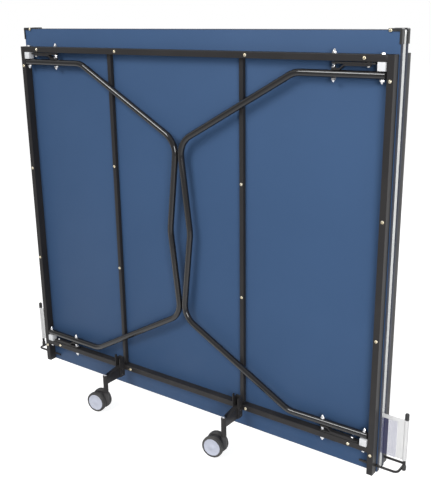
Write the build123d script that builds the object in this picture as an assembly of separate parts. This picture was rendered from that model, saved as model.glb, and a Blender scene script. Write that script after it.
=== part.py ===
from build123d import *
import math
import os

# A centre-fold table tennis table, parked upright on its casters with the net left standing.
# Frame: millimetres, +Z up, floor at z = 0, X along the net, y = 0 midway between the playing faces.
# The near half stands on the -Y side. The far half is the same half turned half a turn about Z.
# Left and right are those of someone who faces the underside of that half.

# Table tops
TABLE_WIDTH = 1525.0
HALF_LENGTH = 1370.0
TOP_THICKNESS = 16.0
NET_EDGE_HEIGHT = 62.0
STORE_GAP = 19.0

# Steel tubes under each top
TUBE_FACE = 20.0
TUBE_DEPTH = 30.0
MID_TUBE_FACE = 15.0
MID_TUBE_DEPTH = 15.0
TUBE_WALL = 1.5
SIDE_INSET = 4.0
TUBE_END_INSET = 1.0
NET_RAIL_INSET = 88.0
END_RAIL_INSET = 74.0
NEAR_MID_TUBES = (-315.0, 247.0)
FAR_MID_TUBES = (-337.0, 225.0)

# Corner caps at the end edge
CAP_LEG = 42.0
CAP_WALL = 4.0
CAP_LIP = 7.0
CAP_SKIN = 2.0

# Domed screws that hold the frame and the caps to the top
SCREW_D = 4.5
SCREW_HEAD_D = 11.0
SCREW_HEAD_H = 3.6
SCREW_BITE = 10.0
RAIL_SCREW_INSET = 92.5
RAIL_SCREW_OFFSET = 272.0
SIDE_SCREW_RISES = (71.0, 465.0)
SIDE_SCREW_DROPS = (532.0, 135.0)
MID_SCREW_RISES = (495.0,)
MID_SCREW_DROPS = (483.0,)
CAP_SCREW_IN = 36.0

# Hinge bows: one bent rod each side, whose two straight legs are the hinge pins of the two halves
ROD_D = 8.0
ROD_SEAT = 0.5
HINGE_RISE = 27.5
BOW_REACH = 78.5
BOW_BEND_R = 14.0
BOW_TAIL = 36.0

# Net and its posts
NET_HEIGHT = 152.5
NET_DROP = 142.0
TAPE_HEIGHT = 15.0
TAPE_THICKNESS = 2.4
BAND_WIDTH = 29.0
SLEEVE_WALL = 1.4
MESH_THICKNESS = 1.0
MESH_COLUMNS = 50
MESH_ROWS = 6
MESH_STRAND = 3.2
POST_D = 10.0
POST_OVER_NET = 20.0
POST_CAP_D = 14.0
POST_CAP_DEPTH = 19.5
POST_CAP_ROOF = 4.0
KNOB_D = 14.0
KNOB_BELOW = 4.0
KNOB_ABOVE = 16.0
POST_FOOT_GAP = 1.0
BOW_INSET = 9.0

# Legs: two bent tubes on each half, which swing about bolts through the rails
LEG_D = 22.0
LEG_WALL = 1.5
LEG_DROP = 25.0
LEG_END = 9.0
PIVOT_INSET = 15.5
PIVOT_DEPTH = 22.0
SHOULDER = 278.0
SHOULDER_R = 85.0
FOOT_SPAN = 626.0
FOOT_R = 76.0
FOOT_GAP = 3.0
FOOT_BOW = 36.5
FOOT_BOW_R = 150.0
LEG_TILT = 0.75
SPACER_SIZE = 24.0
SPACER_PLAY = 0.5

# Folding stays: a rail link and a joggled leg link, which meet at a riveted knee
STAY_ARM = 149.0
STAY_LINK = 107.0
LINK_WIDTH = 16.0
LINK_THICKNESS = 5.0
LINK_TAIL = 15.0
LINK_GAP = 0.4
JOGGLE_START = 20.0
JOGGLE_RUN = 14.0
RIVET_D = 6.0
RIVET_HEAD_D = 11.0
RIVET_HEAD_H = 2.0

# Bolts and acorn nuts
BOLT_D = 8.0
HEX_ACROSS = 13.0
HEX_HEIGHT = 4.5
ACORN_HEX = 6.0
ACORN_CONE = 8.5
ACORN_TIP_D = 4.0
WASHER_D = 16.0
WASHER_THICKNESS = 2.2

# Casters on their brackets and arms
BRACKET_LOW = 54.0
BRACKET_HEIGHT = 80.0
BRACKET_DEPTH = 27.0
BRACKET_WALL = 3.0
TAB_HEIGHT = 12.0
TAB_WIDTH = 10.0
ARM_WIDTH = 18.0
ARM_WALL = 2.0
ARM_REACH = 97.0
ARM_LOW = 55.0
ARM_ROOT_HEIGHT = 43.0
ARM_TIP_HEIGHT = 31.0
SOCKET_D = 19.0
SOCKET_LOW = 17.0
SOCKET_OVER_ARM = 2.0
CROSS_BOLT_D = 6.0
CROSS_BOLT_HEAD_D = 10.0
CROSS_BOLT_HEAD_H = 4.0
CROSS_BOLT_INSET = 11.0
STEM_D = 8.0
STEM_BITE = 24.0
STEM_NUT_H = 4.0
STEM_NUT_ACROSS = 12.0
WHEEL_D = 79.0
WHEEL_WIDTH = 17.0
WHEEL_ROUND = 3.0
WHEEL_GAP = 0.5
FORK_WIDTH = 20.0
FORK_D = 62.0
FORK_BOSS_LOW = 30.0
FORK_BOSS_PLAY = 0.5
CASTER_TRAIL = 34.0
NEAR_HEADING = 8.5
FAR_HEADING = 171.5
AXLE_D = 8.0
DISC_D = 63.0
DISC_RECESS = 2.0
DISC_CROWN = 1.2

# Clearances
RUNNING_FIT = 0.05
PRESS_GAP = 0.01
BOLT_FIT = 0.1
AXIAL_GAP = 0.3

# Planes of the near half
play_y = -STORE_GAP / 2
under_y = play_y - TOP_THICKNESS
frame_y = under_y - TUBE_DEPTH
mid_tube_y = under_y - MID_TUBE_DEPTH
end_edge_z = NET_EDGE_HEIGHT + HALF_LENGTH
side_x = TABLE_WIDTH / 2 - SIDE_INSET - TUBE_FACE / 2
side_inner_x = side_x - TUBE_FACE / 2
net_rail_z = NET_EDGE_HEIGHT + NET_RAIL_INSET
end_rail_z = end_edge_z - END_RAIL_INSET
tube_low_z = NET_EDGE_HEIGHT + TUBE_END_INSET
tube_high_z = end_rail_z + TUBE_FACE / 2
rail_mid_z = (net_rail_z + end_rail_z) / 2
rail_under_z = end_rail_z - TUBE_FACE / 2

# Hinge line, net and posts
hinge_y = -(STORE_GAP / 2 + TOP_THICKNESS + TUBE_WALL + ROD_SEAT + ROD_D / 2)
hinge_z = NET_EDGE_HEIGHT + HINGE_RISE
post_x = TABLE_WIDTH / 2 + BOW_REACH
net_top_z = hinge_z + (play_y - hinge_y) + NET_HEIGHT
net_low_z = net_top_z - NET_DROP
mesh_top_z = net_top_z - TAPE_HEIGHT
mesh_end_x = post_x - BAND_WIDTH
post_low_z = hinge_z + ROD_D / 2 + POST_FOOT_GAP
bow_x = post_x - BOW_INSET
post_top_z = net_top_z + POST_OVER_NET

# Leg pivots and stay anchors
pivot_x = side_inner_x - PIVOT_INSET
pivot_y = under_y - PIVOT_DEPTH
stay_x = pivot_x - STAY_ARM
leg_z = rail_under_z - LEG_DROP - LEG_D / 2
leg_top_z = leg_z + LEG_D / 2
leg_low_z = leg_z - LEG_D / 2
shoulder_x = pivot_x - SHOULDER
foot_z = rail_mid_z + FOOT_SPAN / 2

# Levels of the stay links under the end rail
rail_link_z = rail_under_z - WASHER_THICKNESS - AXIAL_GAP - LINK_THICKNESS
knee_link_z = rail_link_z - LINK_GAP - LINK_THICKNESS
leg_link_z = leg_top_z + AXIAL_GAP

# Caster places
caster_y = frame_y - ARM_REACH
axle_z = WHEEL_D / 2
arm_low_z = NET_EDGE_HEIGHT + ARM_LOW
socket_low_z = NET_EDGE_HEIGHT + SOCKET_LOW
socket_high_z = arm_low_z + ARM_TIP_HEIGHT + SOCKET_OVER_ARM
bracket_low_z = NET_EDGE_HEIGHT + BRACKET_LOW
bracket_inside = ARM_WIDTH + 2 * AXIAL_GAP
bracket_width = bracket_inside + 2 * BRACKET_WALL
cross_bolt_y = frame_y - BRACKET_DEPTH / 2
cross_bolt_heights = (arm_low_z + CROSS_BOLT_INSET, arm_low_z + ARM_ROOT_HEIGHT - CROSS_BOLT_INSET)


def block(x, y, z):
    """Box between two x, two y and two z values."""
    size = (x[1] - x[0], y[1] - y[0], z[1] - z[0])
    middle = ((x[0] + x[1]) / 2, (y[0] + y[1]) / 2, (z[0] + z[1]) / 2)
    return Pos(*middle) * Box(*size)


def upright(radius, x, y, z):
    """Upright cylinder between two heights."""
    return Pos(x, y, (z[0] + z[1]) / 2) * Cylinder(radius, z[1] - z[0])


def along_x(radius, x, y, z):
    """Cylinder along X between two x values."""
    return Pos((x[0] + x[1]) / 2, y, z) * Rot(0, 90, 0) * Cylinder(radius, x[1] - x[0])


def along_y(radius, x, y, z):
    """Cylinder along Y between two y values."""
    return Pos(x, (y[0] + y[1]) / 2, z) * Rot(90, 0, 0) * Cylinder(radius, y[1] - y[0])


def hexagon(across, x, y, z):
    """Upright hexagonal prism between two heights."""
    profile = Pos(x, y, z[0]) * RegularPolygon(across / 2, 6, major_radius=False)
    return extrude(profile, z[1] - z[0])


def acorn(x, y, z, way):
    """Acorn nut that stands on height z and points up (way 1) or down (way -1)."""
    hex_end = z + way * ACORN_HEX
    cone = Cone(HEX_ACROSS / 2, ACORN_TIP_D / 2, ACORN_CONE)
    if way < 0:
        cone = Rot(180, 0, 0) * cone
    cone = Pos(x, y, hex_end + way * ACORN_CONE / 2) * cone
    return hexagon(HEX_ACROSS, x, y, sorted((z, hex_end))) + cone


def turned(shape, x, y, angle):
    """Shape turned about the upright line through x, y."""
    return Pos(x, y, 0) * Rot(0, 0, angle) * Pos(-x, -y, 0) * shape


def both_ends(shape):
    """Shape at the end rail and its mirror image at the net rail."""
    return [shape, mirror(shape, about=Plane.XY.offset(rail_mid_z))]


def both_sides(shapes):
    """Shapes on the right and their mirror images on the left."""
    return shapes + [mirror(shape, about=Plane.YZ) for shape in shapes]


def stay_angle(leg_angle):
    """Turn of a stay link from its rail or leg, in degrees, when the leg stands out by leg_angle."""
    half = math.radians(leg_angle / 2)
    return 90 - leg_angle / 2 - math.degrees(math.acos(STAY_ARM / STAY_LINK * math.sin(half)))


def screw_heights(rises, drops):
    """Heights of screws that stand above the net edge or below the end edge."""
    return [NET_EDGE_HEIGHT + rise for rise in rises] + [end_edge_z - drop for drop in drops]


def screw_places(mids):
    """x, z and the depth of what each screw of a half goes through, with its middle tubes at x = mids."""
    outer_x = TABLE_WIDTH / 2 - RAIL_SCREW_INSET
    across = (-outer_x, -RAIL_SCREW_OFFSET, RAIL_SCREW_OFFSET, outer_x)
    side_heights = screw_heights(SIDE_SCREW_RISES, SIDE_SCREW_DROPS)
    mid_heights = screw_heights(MID_SCREW_RISES, MID_SCREW_DROPS)
    places = [(x, z, TUBE_DEPTH) for x in across for z in (net_rail_z, end_rail_z)]
    places += [(x, z, TUBE_DEPTH) for x in (-side_x, side_x) for z in side_heights]
    places += [(x, z, MID_TUBE_DEPTH) for x in mids for z in mid_heights]
    cap_x = TABLE_WIDTH / 2 + CAP_WALL - CAP_SCREW_IN
    cap_z = end_edge_z + CAP_WALL - (CAP_WALL + CAP_LIP) / 2
    return places + [(x, cap_z, CAP_SKIN) for x in (-cap_x, cap_x)]


def screw_holes(mids):
    """Cutters for every screw of one half."""
    radius = SCREW_D / 2 + RUNNING_FIT
    return [along_y(radius, x, (under_y - depth, under_y + SCREW_BITE), z) for x, z, depth in screw_places(mids)]


def panel_screws(mids):
    """Domed screws through the tubes and the caps into the top."""
    screws = []
    for x, z, depth in screw_places(mids):
        head_y = under_y - depth
        shank = along_y(SCREW_D / 2, x, (head_y, under_y + SCREW_BITE), z)
        dome_r = ((SCREW_HEAD_D / 2) ** 2 + SCREW_HEAD_H ** 2) / (2 * SCREW_HEAD_H)
        dome = Pos(x, head_y + dome_r - SCREW_HEAD_H, z) * Sphere(dome_r)
        keep = block((x - dome_r, x + dome_r), (head_y - SCREW_HEAD_H, head_y), (z - dome_r, z + dome_r))
        screws.append(shank + (dome & keep))
    return screws


def tabletop(mids):
    """Flat top of one half, playing face inwards, with blind holes for the screws."""
    top = block((-TABLE_WIDTH / 2, TABLE_WIDTH / 2), (under_y, play_y), (NET_EDGE_HEIGHT, end_edge_z))
    return top - screw_holes(mids)


def tube(x, y, z, run):
    """Open-ended box tube whose length runs along the given axis."""
    outer = block(x, y, z)
    spans = [x, y, z]
    inner = [s if axis == run else (s[0] + TUBE_WALL, s[1] - TUBE_WALL) for axis, s in zip("xyz", spans)]
    return outer - block(*inner)


def side_tubes(mids):
    """Side tubes, drilled for the hinge rods and the screws."""
    tubes = []
    for x in (-side_x, side_x):
        span = (x - TUBE_FACE / 2, x + TUBE_FACE / 2)
        body = tube(span, (frame_y, under_y), (tube_low_z, tube_high_z), "z")
        tubes.append(body - along_x(ROD_D / 2 + RUNNING_FIT, span, hinge_y, hinge_z) - screw_holes(mids))
    return tubes


def rails(mids):
    """Net rail and end rail, drilled for the pivot bolts, the stay bolts and the screws."""
    drills = []
    for x in (-pivot_x, -stay_x, stay_x, pivot_x):
        drills.append(upright(BOLT_D / 2 + BOLT_FIT, x, pivot_y, (NET_EDGE_HEIGHT, end_edge_z)))
    bars = []
    for z in (net_rail_z, end_rail_z):
        span = (z - TUBE_FACE / 2, z + TUBE_FACE / 2)
        body = tube((-side_inner_x, side_inner_x), (frame_y, under_y), span, "x")
        bars.append(body - drills - screw_holes(mids))
    return bars


def mid_tubes(mids):
    """Two slimmer tubes between the rails."""
    tubes = []
    ends = (net_rail_z + TUBE_FACE / 2, end_rail_z - TUBE_FACE / 2)
    for x in mids:
        span = (x - MID_TUBE_FACE / 2, x + MID_TUBE_FACE / 2)
        tubes.append(tube(span, (mid_tube_y, under_y), ends, "z") - screw_holes(mids))
    return tubes


def corner_caps(mids):
    """Caps over the two corners of the end edge, open towards the top they grip."""
    out_x = TABLE_WIDTH / 2 + CAP_WALL
    out_z = end_edge_z + CAP_WALL
    lip = CAP_WALL + CAP_LIP
    faces = (under_y - CAP_SKIN, play_y + CAP_SKIN)
    flat = block((out_x - CAP_LEG, out_x), faces, (out_z - lip, out_z))
    upper = block((out_x - lip, out_x), faces, (out_z - CAP_LEG, out_z))
    inside = block((0, TABLE_WIDTH / 2), (under_y, play_y), (NET_EDGE_HEIGHT, end_edge_z))
    cap = flat + upper
    edges = cap.edges().filter_by(Axis.Y).group_by(Axis.X)[-1].group_by(Axis.Z)[-1]
    cap = fillet(edges, CAP_WALL + CAP_SKIN) - inside - screw_holes(mids)
    return both_sides([cap])


def pivot_bolts():
    """Bolts the legs swing on: a nut on the rail's outer face, an acorn nut past the leg."""
    rail_top = end_rail_z + TUBE_FACE / 2
    bolt = upright(BOLT_D / 2, pivot_x, pivot_y, (leg_low_z - AXIAL_GAP, rail_top))
    bolt += acorn(pivot_x, pivot_y, leg_low_z - AXIAL_GAP, -1)
    bolt += hexagon(HEX_ACROSS, pivot_x, pivot_y, (rail_top, rail_top + HEX_HEIGHT))
    return both_sides(both_ends(bolt))


def pivot_spacers():
    """Plastic blocks on the pivot bolts, between rail and leg."""
    half = SPACER_SIZE / 2
    x = (pivot_x - half, pivot_x + half)
    spacer = block(x, (pivot_y - half, pivot_y + half), (leg_top_z + SPACER_PLAY, rail_under_z))
    spacer -= upright(BOLT_D / 2 + BOLT_FIT, pivot_x, pivot_y, (leg_top_z, rail_under_z))
    return both_sides(both_ends(spacer))


def rail_stay_bolts():
    """Bolts that carry the rail links: an acorn nut on the rail's outer face, a head past the link."""
    rail_top = end_rail_z + TUBE_FACE / 2
    head_top = rail_link_z - AXIAL_GAP
    bolt = upright(BOLT_D / 2, stay_x, pivot_y, (head_top, rail_top))
    bolt += hexagon(HEX_ACROSS, stay_x, pivot_y, (head_top - HEX_HEIGHT, head_top))
    bolt += upright(WASHER_D / 2, stay_x, pivot_y, (rail_under_z - WASHER_THICKNESS, rail_under_z))
    bolt += acorn(stay_x, pivot_y, rail_top, 1)
    return both_sides(both_ends(bolt))


def foot_corner_x():
    """X of the leg's unrounded foot corner, so that the rounded tube just clears the other leg."""
    foot_x = (LEG_D + FOOT_GAP) / 2
    up = Vector(shoulder_x - foot_x, 0, leg_z - foot_z).normalized()
    down = Vector(FOOT_BOW, 0, rail_mid_z - foot_z).normalized()
    middle = (up + down).normalized()
    half_angle = math.radians(up.get_angle(down) / 2)
    return foot_x - FOOT_R * (middle.X / math.sin(half_angle) - 1)


def leg_path():
    """Centre line of the right leg, folded flat against the frame."""
    corner_x = foot_corner_x()
    upper = [(pivot_x + LEG_END, leg_z), (shoulder_x, leg_z), (corner_x, foot_z)]
    lower = [(x, 2 * rail_mid_z - z) for x, z in reversed(upper)]
    points = upper + [(corner_x + FOOT_BOW, rail_mid_z)] + lower
    radii = [SHOULDER_R, FOOT_R, FOOT_BOW_R, FOOT_R, SHOULDER_R]
    return FilletPolyline(*[(x, pivot_y, z) for x, z in points], radius=radii)


def right_leg():
    """Bent tube of the right leg, drilled for its pivot bolts and stay bolts."""
    path = leg_path()
    start = Plane(path @ 0, z_dir=path % 0)
    outer = sweep(start * Circle(LEG_D / 2), path)
    inner = sweep(start * Circle(LEG_D / 2 - LEG_WALL), path)
    ends = (2 * rail_mid_z - leg_top_z, leg_top_z)
    drills = [upright(BOLT_D / 2 + RUNNING_FIT, x, pivot_y, ends) for x in (pivot_x, stay_x)]
    return turned(outer - inner - drills, pivot_x, pivot_y, LEG_TILT)


def right_leg_stay_bolts():
    """Bolts that carry the right leg's links: an acorn nut past the leg, a nut on the link."""
    nut_low = leg_link_z + LINK_THICKNESS + AXIAL_GAP
    bolt = upright(BOLT_D / 2, stay_x, pivot_y, (leg_low_z - AXIAL_GAP, nut_low))
    bolt += hexagon(HEX_ACROSS, stay_x, pivot_y, (nut_low, nut_low + HEX_HEIGHT))
    bolt += acorn(stay_x, pivot_y, leg_low_z - AXIAL_GAP, -1)
    return both_ends(turned(bolt, pivot_x, pivot_y, LEG_TILT))


def link_outline(length):
    """Round-ended strip from the anchor towards the pivot, tall enough for any link."""
    strip = Pos(stay_x + length / 2, pivot_y) * SlotCenterToCenter(length, LINK_WIDTH)
    return Pos(0, 0, leg_low_z) * extrude(strip, rail_under_z - leg_low_z)


def right_rail_links():
    """Flat links under the rail, each with the upper half of its knee rivet."""
    levels = (rail_link_z, rail_link_z + LINK_THICKNESS)
    knee_x = stay_x + STAY_LINK
    reach = stay_x + STAY_LINK + LINK_TAIL + LINK_WIDTH
    strip = block((stay_x - LINK_WIDTH, reach), (pivot_y - LINK_WIDTH, pivot_y + LINK_WIDTH), levels)
    link = strip & link_outline(STAY_LINK + LINK_TAIL)
    link -= upright(BOLT_D / 2 + RUNNING_FIT, stay_x, pivot_y, levels)
    link += upright(RIVET_HEAD_D / 2, knee_x, pivot_y, (levels[1], levels[1] + RIVET_HEAD_H))
    return both_ends(turned(link, stay_x, pivot_y, -stay_angle(LEG_TILT)))


def right_leg_links():
    """Joggled links that step up from the leg to the rail links, each with the lower rivet half."""
    start_x = stay_x + JOGGLE_START
    end_x = start_x + JOGGLE_RUN
    knee_x = stay_x + STAY_LINK
    far_x = knee_x + LINK_WIDTH
    lower_edge = [(stay_x - LINK_WIDTH, leg_link_z), (start_x, leg_link_z)]
    lower_edge += [(end_x, knee_link_z), (far_x, knee_link_z)]
    upper_edge = [(x, z + LINK_THICKNESS) for x, z in reversed(lower_edge)]
    side = Plane.XZ.offset(-pivot_y) * make_face(Polyline(*lower_edge, *upper_edge, close=True))
    link = extrude(side, LINK_WIDTH, both=True) & link_outline(STAY_LINK)
    link -= upright(BOLT_D / 2 + RUNNING_FIT, stay_x, pivot_y, (leg_link_z, leg_link_z + LINK_THICKNESS))
    link += upright(RIVET_HEAD_D / 2, knee_x, pivot_y, (knee_link_z - RIVET_HEAD_H, knee_link_z))
    link = turned(link, stay_x, pivot_y, stay_angle(LEG_TILT))
    return both_ends(turned(link, pivot_x, pivot_y, LEG_TILT))


def caster_brackets(mids):
    """Channel brackets welded to the net rail, with a small tab on top."""
    brackets = []
    high_z = bracket_low_z + BRACKET_HEIGHT
    for x in mids:
        outside = (x - bracket_width / 2, x + bracket_width / 2)
        inside = (x - bracket_inside / 2, x + bracket_inside / 2)
        front = frame_y - BRACKET_DEPTH
        channel = block(outside, (front, frame_y), (bracket_low_z, high_z))
        channel -= block(inside, (front, frame_y - BRACKET_WALL), (bracket_low_z, high_z))
        tab = block((outside[0], inside[0]), (front, front + TAB_WIDTH), (high_z, high_z + TAB_HEIGHT))
        channel += tab
        drills = [along_x(CROSS_BOLT_D / 2 + BOLT_FIT, outside, cross_bolt_y, z) for z in cross_bolt_heights]
        brackets.append(channel - drills)
    return brackets


def bracket_bolts(mids):
    """Cross bolts through the cheeks of each bracket and the arm between them."""
    bolts = []
    head_r = CROSS_BOLT_HEAD_D / 2
    for x in mids:
        half = bracket_width / 2
        for z in cross_bolt_heights:
            bolt = along_x(CROSS_BOLT_D / 2, (x - half, x + half), cross_bolt_y, z)
            bolt += along_x(head_r, (x + half, x + half + CROSS_BOLT_HEAD_H), cross_bolt_y, z)
            bolt += along_x(head_r, (x - half - CROSS_BOLT_HEAD_H, x - half), cross_bolt_y, z)
            bolts.append(bolt)
    return bolts


def arm_side(low, inset):
    """Side view of a caster arm, drawn in by inset on its upper edge."""
    root_y = frame_y - BRACKET_WALL - AXIAL_GAP
    shoulder_y = frame_y - BRACKET_DEPTH
    root_top = arm_low_z + ARM_ROOT_HEIGHT - inset
    tip_top = arm_low_z + ARM_TIP_HEIGHT - inset
    corners = [(root_y, low), (root_y, root_top), (shoulder_y, root_top), (caster_y, tip_top), (caster_y, low)]
    return make_face(Polyline(*corners, close=True))


def caster_arms(mids):
    """Pressed arms, open below, each with the upright socket of its caster welded to the tip."""
    arms = []
    for x in mids:
        outer = extrude(Plane.YZ.offset(x) * arm_side(arm_low_z, 0), ARM_WIDTH / 2, both=True)
        hollow = extrude(Plane.YZ.offset(x) * arm_side(arm_low_z, ARM_WALL), ARM_WIDTH / 2 - ARM_WALL, both=True)
        socket = upright(SOCKET_D / 2, x, caster_y, (socket_low_z, socket_high_z))
        bore = upright(STEM_D / 2 + BOLT_FIT, x, caster_y, (socket_low_z, socket_high_z))
        arm = outer - hollow + socket - bore
        span = (x - ARM_WIDTH / 2, x + ARM_WIDTH / 2)
        drills = [along_x(CROSS_BOLT_D / 2 + BOLT_FIT, span, cross_bolt_y, z) for z in cross_bolt_heights]
        arms.append(arm - drills)
    return arms


def caster_stems(mids):
    """Threaded stems that hang in the sockets on their nuts and carry the forks."""
    stems = []
    for x in mids:
        stem = upright(STEM_D / 2, x, caster_y, (socket_low_z - STEM_BITE, socket_high_z))
        nut = hexagon(STEM_NUT_ACROSS, x, caster_y, (socket_high_z, socket_high_z + STEM_NUT_H))
        stems.append(stem + nut)
    return stems


def at_caster(shape, x, heading):
    """Shape from the caster's own frame, where it trails along -X and the stem is at the origin."""
    return Pos(x, caster_y, 0) * Rot(0, 0, heading) * shape


def caster_fork(x, heading):
    """Fork body between the wheels, with the boss that turns on the stem."""
    half = FORK_WIDTH / 2
    boss_top = socket_low_z - FORK_BOSS_PLAY
    web = along_y(FORK_D / 2, -CASTER_TRAIL, (-half, half), axle_z)
    boss = upright(half, 0, 0, (FORK_BOSS_LOW, boss_top))
    fork = web + boss
    fork -= upright(STEM_D / 2 + RUNNING_FIT, 0, 0, (socket_low_z - STEM_BITE - AXIAL_GAP, boss_top))
    fork -= along_y(AXLE_D / 2 + RUNNING_FIT, -CASTER_TRAIL, (-half, half), axle_z)
    return at_caster(fork, x, heading)


def caster_wheels(x, heading):
    """Two wheels and the axle they are pressed on, with a shallow recess for each hub disc."""
    inner = FORK_WIDTH / 2 + WHEEL_GAP
    outer = inner + WHEEL_WIDTH
    axle_end = outer - DISC_RECESS
    pieces = [along_y(AXLE_D / 2, -CASTER_TRAIL, (-axle_end, axle_end), axle_z)]
    for way in (-1, 1):
        wheel = along_y(WHEEL_D / 2, -CASTER_TRAIL, sorted((way * inner, way * outer)), axle_z)
        wheel = fillet(wheel.edges().filter_by(GeomType.CIRCLE), WHEEL_ROUND)
        wheel -= along_y(DISC_D / 2, -CASTER_TRAIL, sorted((way * axle_end, way * outer)), axle_z)
        wheel -= along_y(AXLE_D / 2 + PRESS_GAP, -CASTER_TRAIL, sorted((way * inner, way * outer)), axle_z)
        pieces.append(wheel)
    return [at_caster(piece, x, heading) for piece in pieces]


def hub_discs(x, heading):
    """Pale discs that close the outer faces of the wheels, each a little crowned."""
    face = FORK_WIDTH / 2 + WHEEL_GAP + WHEEL_WIDTH
    crown_r = ((DISC_D / 2) ** 2 + DISC_CROWN ** 2) / (2 * DISC_CROWN)
    discs = []
    for way in (-1, 1):
        floor_y = way * (face - DISC_RECESS)
        plate = along_y(DISC_D / 2, -CASTER_TRAIL, sorted((floor_y, way * (face + DISC_CROWN))), axle_z)
        crown = Pos(-CASTER_TRAIL, way * (face + DISC_CROWN - crown_r), axle_z) * Sphere(crown_r)
        discs.append(at_caster(plate & crown, x, heading))
    return discs


def hinge_bows():
    """Bent rods at the sides: two hinge pins each, joined by a bar that carries the net post."""
    pin_x = side_inner_x - BOW_TAIL
    corners = [(pin_x, hinge_y), (bow_x, hinge_y), (bow_x, -hinge_y), (pin_x, -hinge_y)]
    path = FilletPolyline(*[(x, y, hinge_z) for x, y in corners], radius=BOW_BEND_R)
    bow = sweep(Plane(path @ 0, z_dir=path % 0) * Circle(ROD_D / 2), path)
    return both_sides([bow])


def post_knobs():
    """Plastic feet that grip the bows and hold the posts upright."""
    knob = upright(KNOB_D / 2, post_x, 0, (hinge_z - KNOB_BELOW, hinge_z + KNOB_ABOVE))
    knob -= along_y(ROD_D / 2 + RUNNING_FIT, bow_x, (-KNOB_D, KNOB_D), hinge_z)
    knob -= upright(POST_D / 2 + RUNNING_FIT, post_x, 0, (post_low_z, hinge_z + KNOB_ABOVE))
    return both_sides([knob])


def net_posts():
    """Upright posts of the net."""
    return both_sides([upright(POST_D / 2, post_x, 0, (post_low_z, post_top_z))])


def post_caps():
    """Plastic caps pushed over the tops of the posts."""
    levels = (post_top_z - POST_CAP_DEPTH, post_top_z + POST_CAP_ROOF)
    cap = upright(POST_CAP_D / 2, post_x, 0, levels)
    cap = fillet(cap.edges().group_by(Axis.Z)[-1], POST_CAP_ROOF)
    return both_sides([cap - upright(POST_D / 2 + RUNNING_FIT, post_x, 0, (levels[0], post_top_z))])


def net_mesh():
    """Flat net between the bindings, as one holed sheet."""
    width = 2 * mesh_end_x
    height = mesh_top_z - net_low_z
    pitch_x = width / MESH_COLUMNS
    pitch_z = height / MESH_ROWS
    gap = Rectangle(pitch_x - MESH_STRAND, pitch_z - MESH_STRAND)
    gaps = [(place * gap).wire() for place in GridLocations(pitch_x, pitch_z, MESH_COLUMNS, MESH_ROWS)]
    sheet = Plane.XZ.offset(-MESH_THICKNESS / 2) * Face(Rectangle(width, height).wire(), gaps)
    return Pos(0, 0, (mesh_top_z + net_low_z) / 2) * extrude(sheet, MESH_THICKNESS, clean=False)


def net_binding():
    """Tape along the top of the net, with a band and a sleeve for the post at each end."""
    half = TAPE_THICKNESS / 2
    sleeve_r = POST_D / 2 + RUNNING_FIT + SLEEVE_WALL
    binding = block((-post_x, post_x), (-half, half), (mesh_top_z, net_top_z))
    for way in (-1, 1):
        band = sorted((way * mesh_end_x, way * post_x))
        binding += block(band, (-half, half), (net_low_z, net_top_z))
        binding += upright(sleeve_r, way * post_x, 0, (net_low_z, net_top_z))
    for way in (-1, 1):
        binding -= upright(POST_D / 2 + RUNNING_FIT, way * post_x, 0, (net_low_z, net_top_z))
    return binding


def legs_of_half():
    """Legs, their bolts and their stay links, on the right and on the left."""
    right = {
        "leg": [right_leg()],
        "leg_stay_bolts": right_leg_stay_bolts(),
        "rail_links": right_rail_links(),
        "leg_links": right_leg_links(),
    }
    pieces = {f"right_{name}": shapes for name, shapes in right.items()}
    for name, shapes in right.items():
        pieces[f"left_{name}"] = [mirror(shape, about=Plane.YZ) for shape in shapes]
    return pieces


def casters_of_half(mids, heading):
    """Left and right casters, turned to their heading."""
    pieces = {}
    for side, x in zip(("left", "right"), mids):
        pieces[f"{side}_caster_fork"] = [caster_fork(x, heading)]
        pieces[f"{side}_caster_wheels"] = caster_wheels(x, heading)
        pieces[f"{side}_hub_discs"] = hub_discs(x, heading)
    return pieces


def half_table(mids, heading):
    """Every piece of one half, by its plain name, set as the near half stands."""
    pieces = {
        "tabletop": [tabletop(mids)],
        "side_tubes": side_tubes(mids),
        "rails": rails(mids),
        "mid_tubes": mid_tubes(mids),
        "corner_caps": corner_caps(mids),
        "panel_screws": panel_screws(mids),
        "pivot_bolts": pivot_bolts(),
        "pivot_spacers": pivot_spacers(),
        "rail_stay_bolts": rail_stay_bolts(),
        "caster_brackets": caster_brackets(mids),
        "bracket_bolts": bracket_bolts(mids),
        "caster_arms": caster_arms(mids),
        "caster_stems": caster_stems(mids),
    }
    return pieces | legs_of_half() | casters_of_half(mids, heading)


def net_set():
    """The net with its posts and the hinge bows that carry it."""
    return {
        "hinge_bows": hinge_bows(),
        "post_knobs": post_knobs(),
        "net_posts": net_posts(),
        "post_caps": post_caps(),
        "net_mesh": [net_mesh()],
        "net_binding": [net_binding()],
    }


def whole_table():
    """Every node of the table: the net set, the near half and the far half."""
    nodes = net_set()
    for name, shapes in half_table(NEAR_MID_TUBES, NEAR_HEADING).items():
        nodes[f"near_{name}"] = shapes
    for name, shapes in half_table(FAR_MID_TUBES, FAR_HEADING).items():
        nodes[f"far_{name}"] = [Rot(0, 0, 180) * shape for shape in shapes]
    return nodes


os.makedirs("parts", exist_ok=True)
for node, shapes in whole_table().items():
    solids = [solid for shape in shapes for solid in shape.solids()]
    export_step(Compound(children=solids), f"parts/{node}.step")
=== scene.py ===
"""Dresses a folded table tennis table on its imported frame: tops, tubes, legs, stays, casters and net."""
from __future__ import annotations

import logging
import math
from dataclasses import dataclass
from enum import Enum
from typing import Any, Iterable, Sequence

import bmesh
import bpy
import numpy as np
from mathutils import Matrix, Vector

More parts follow.
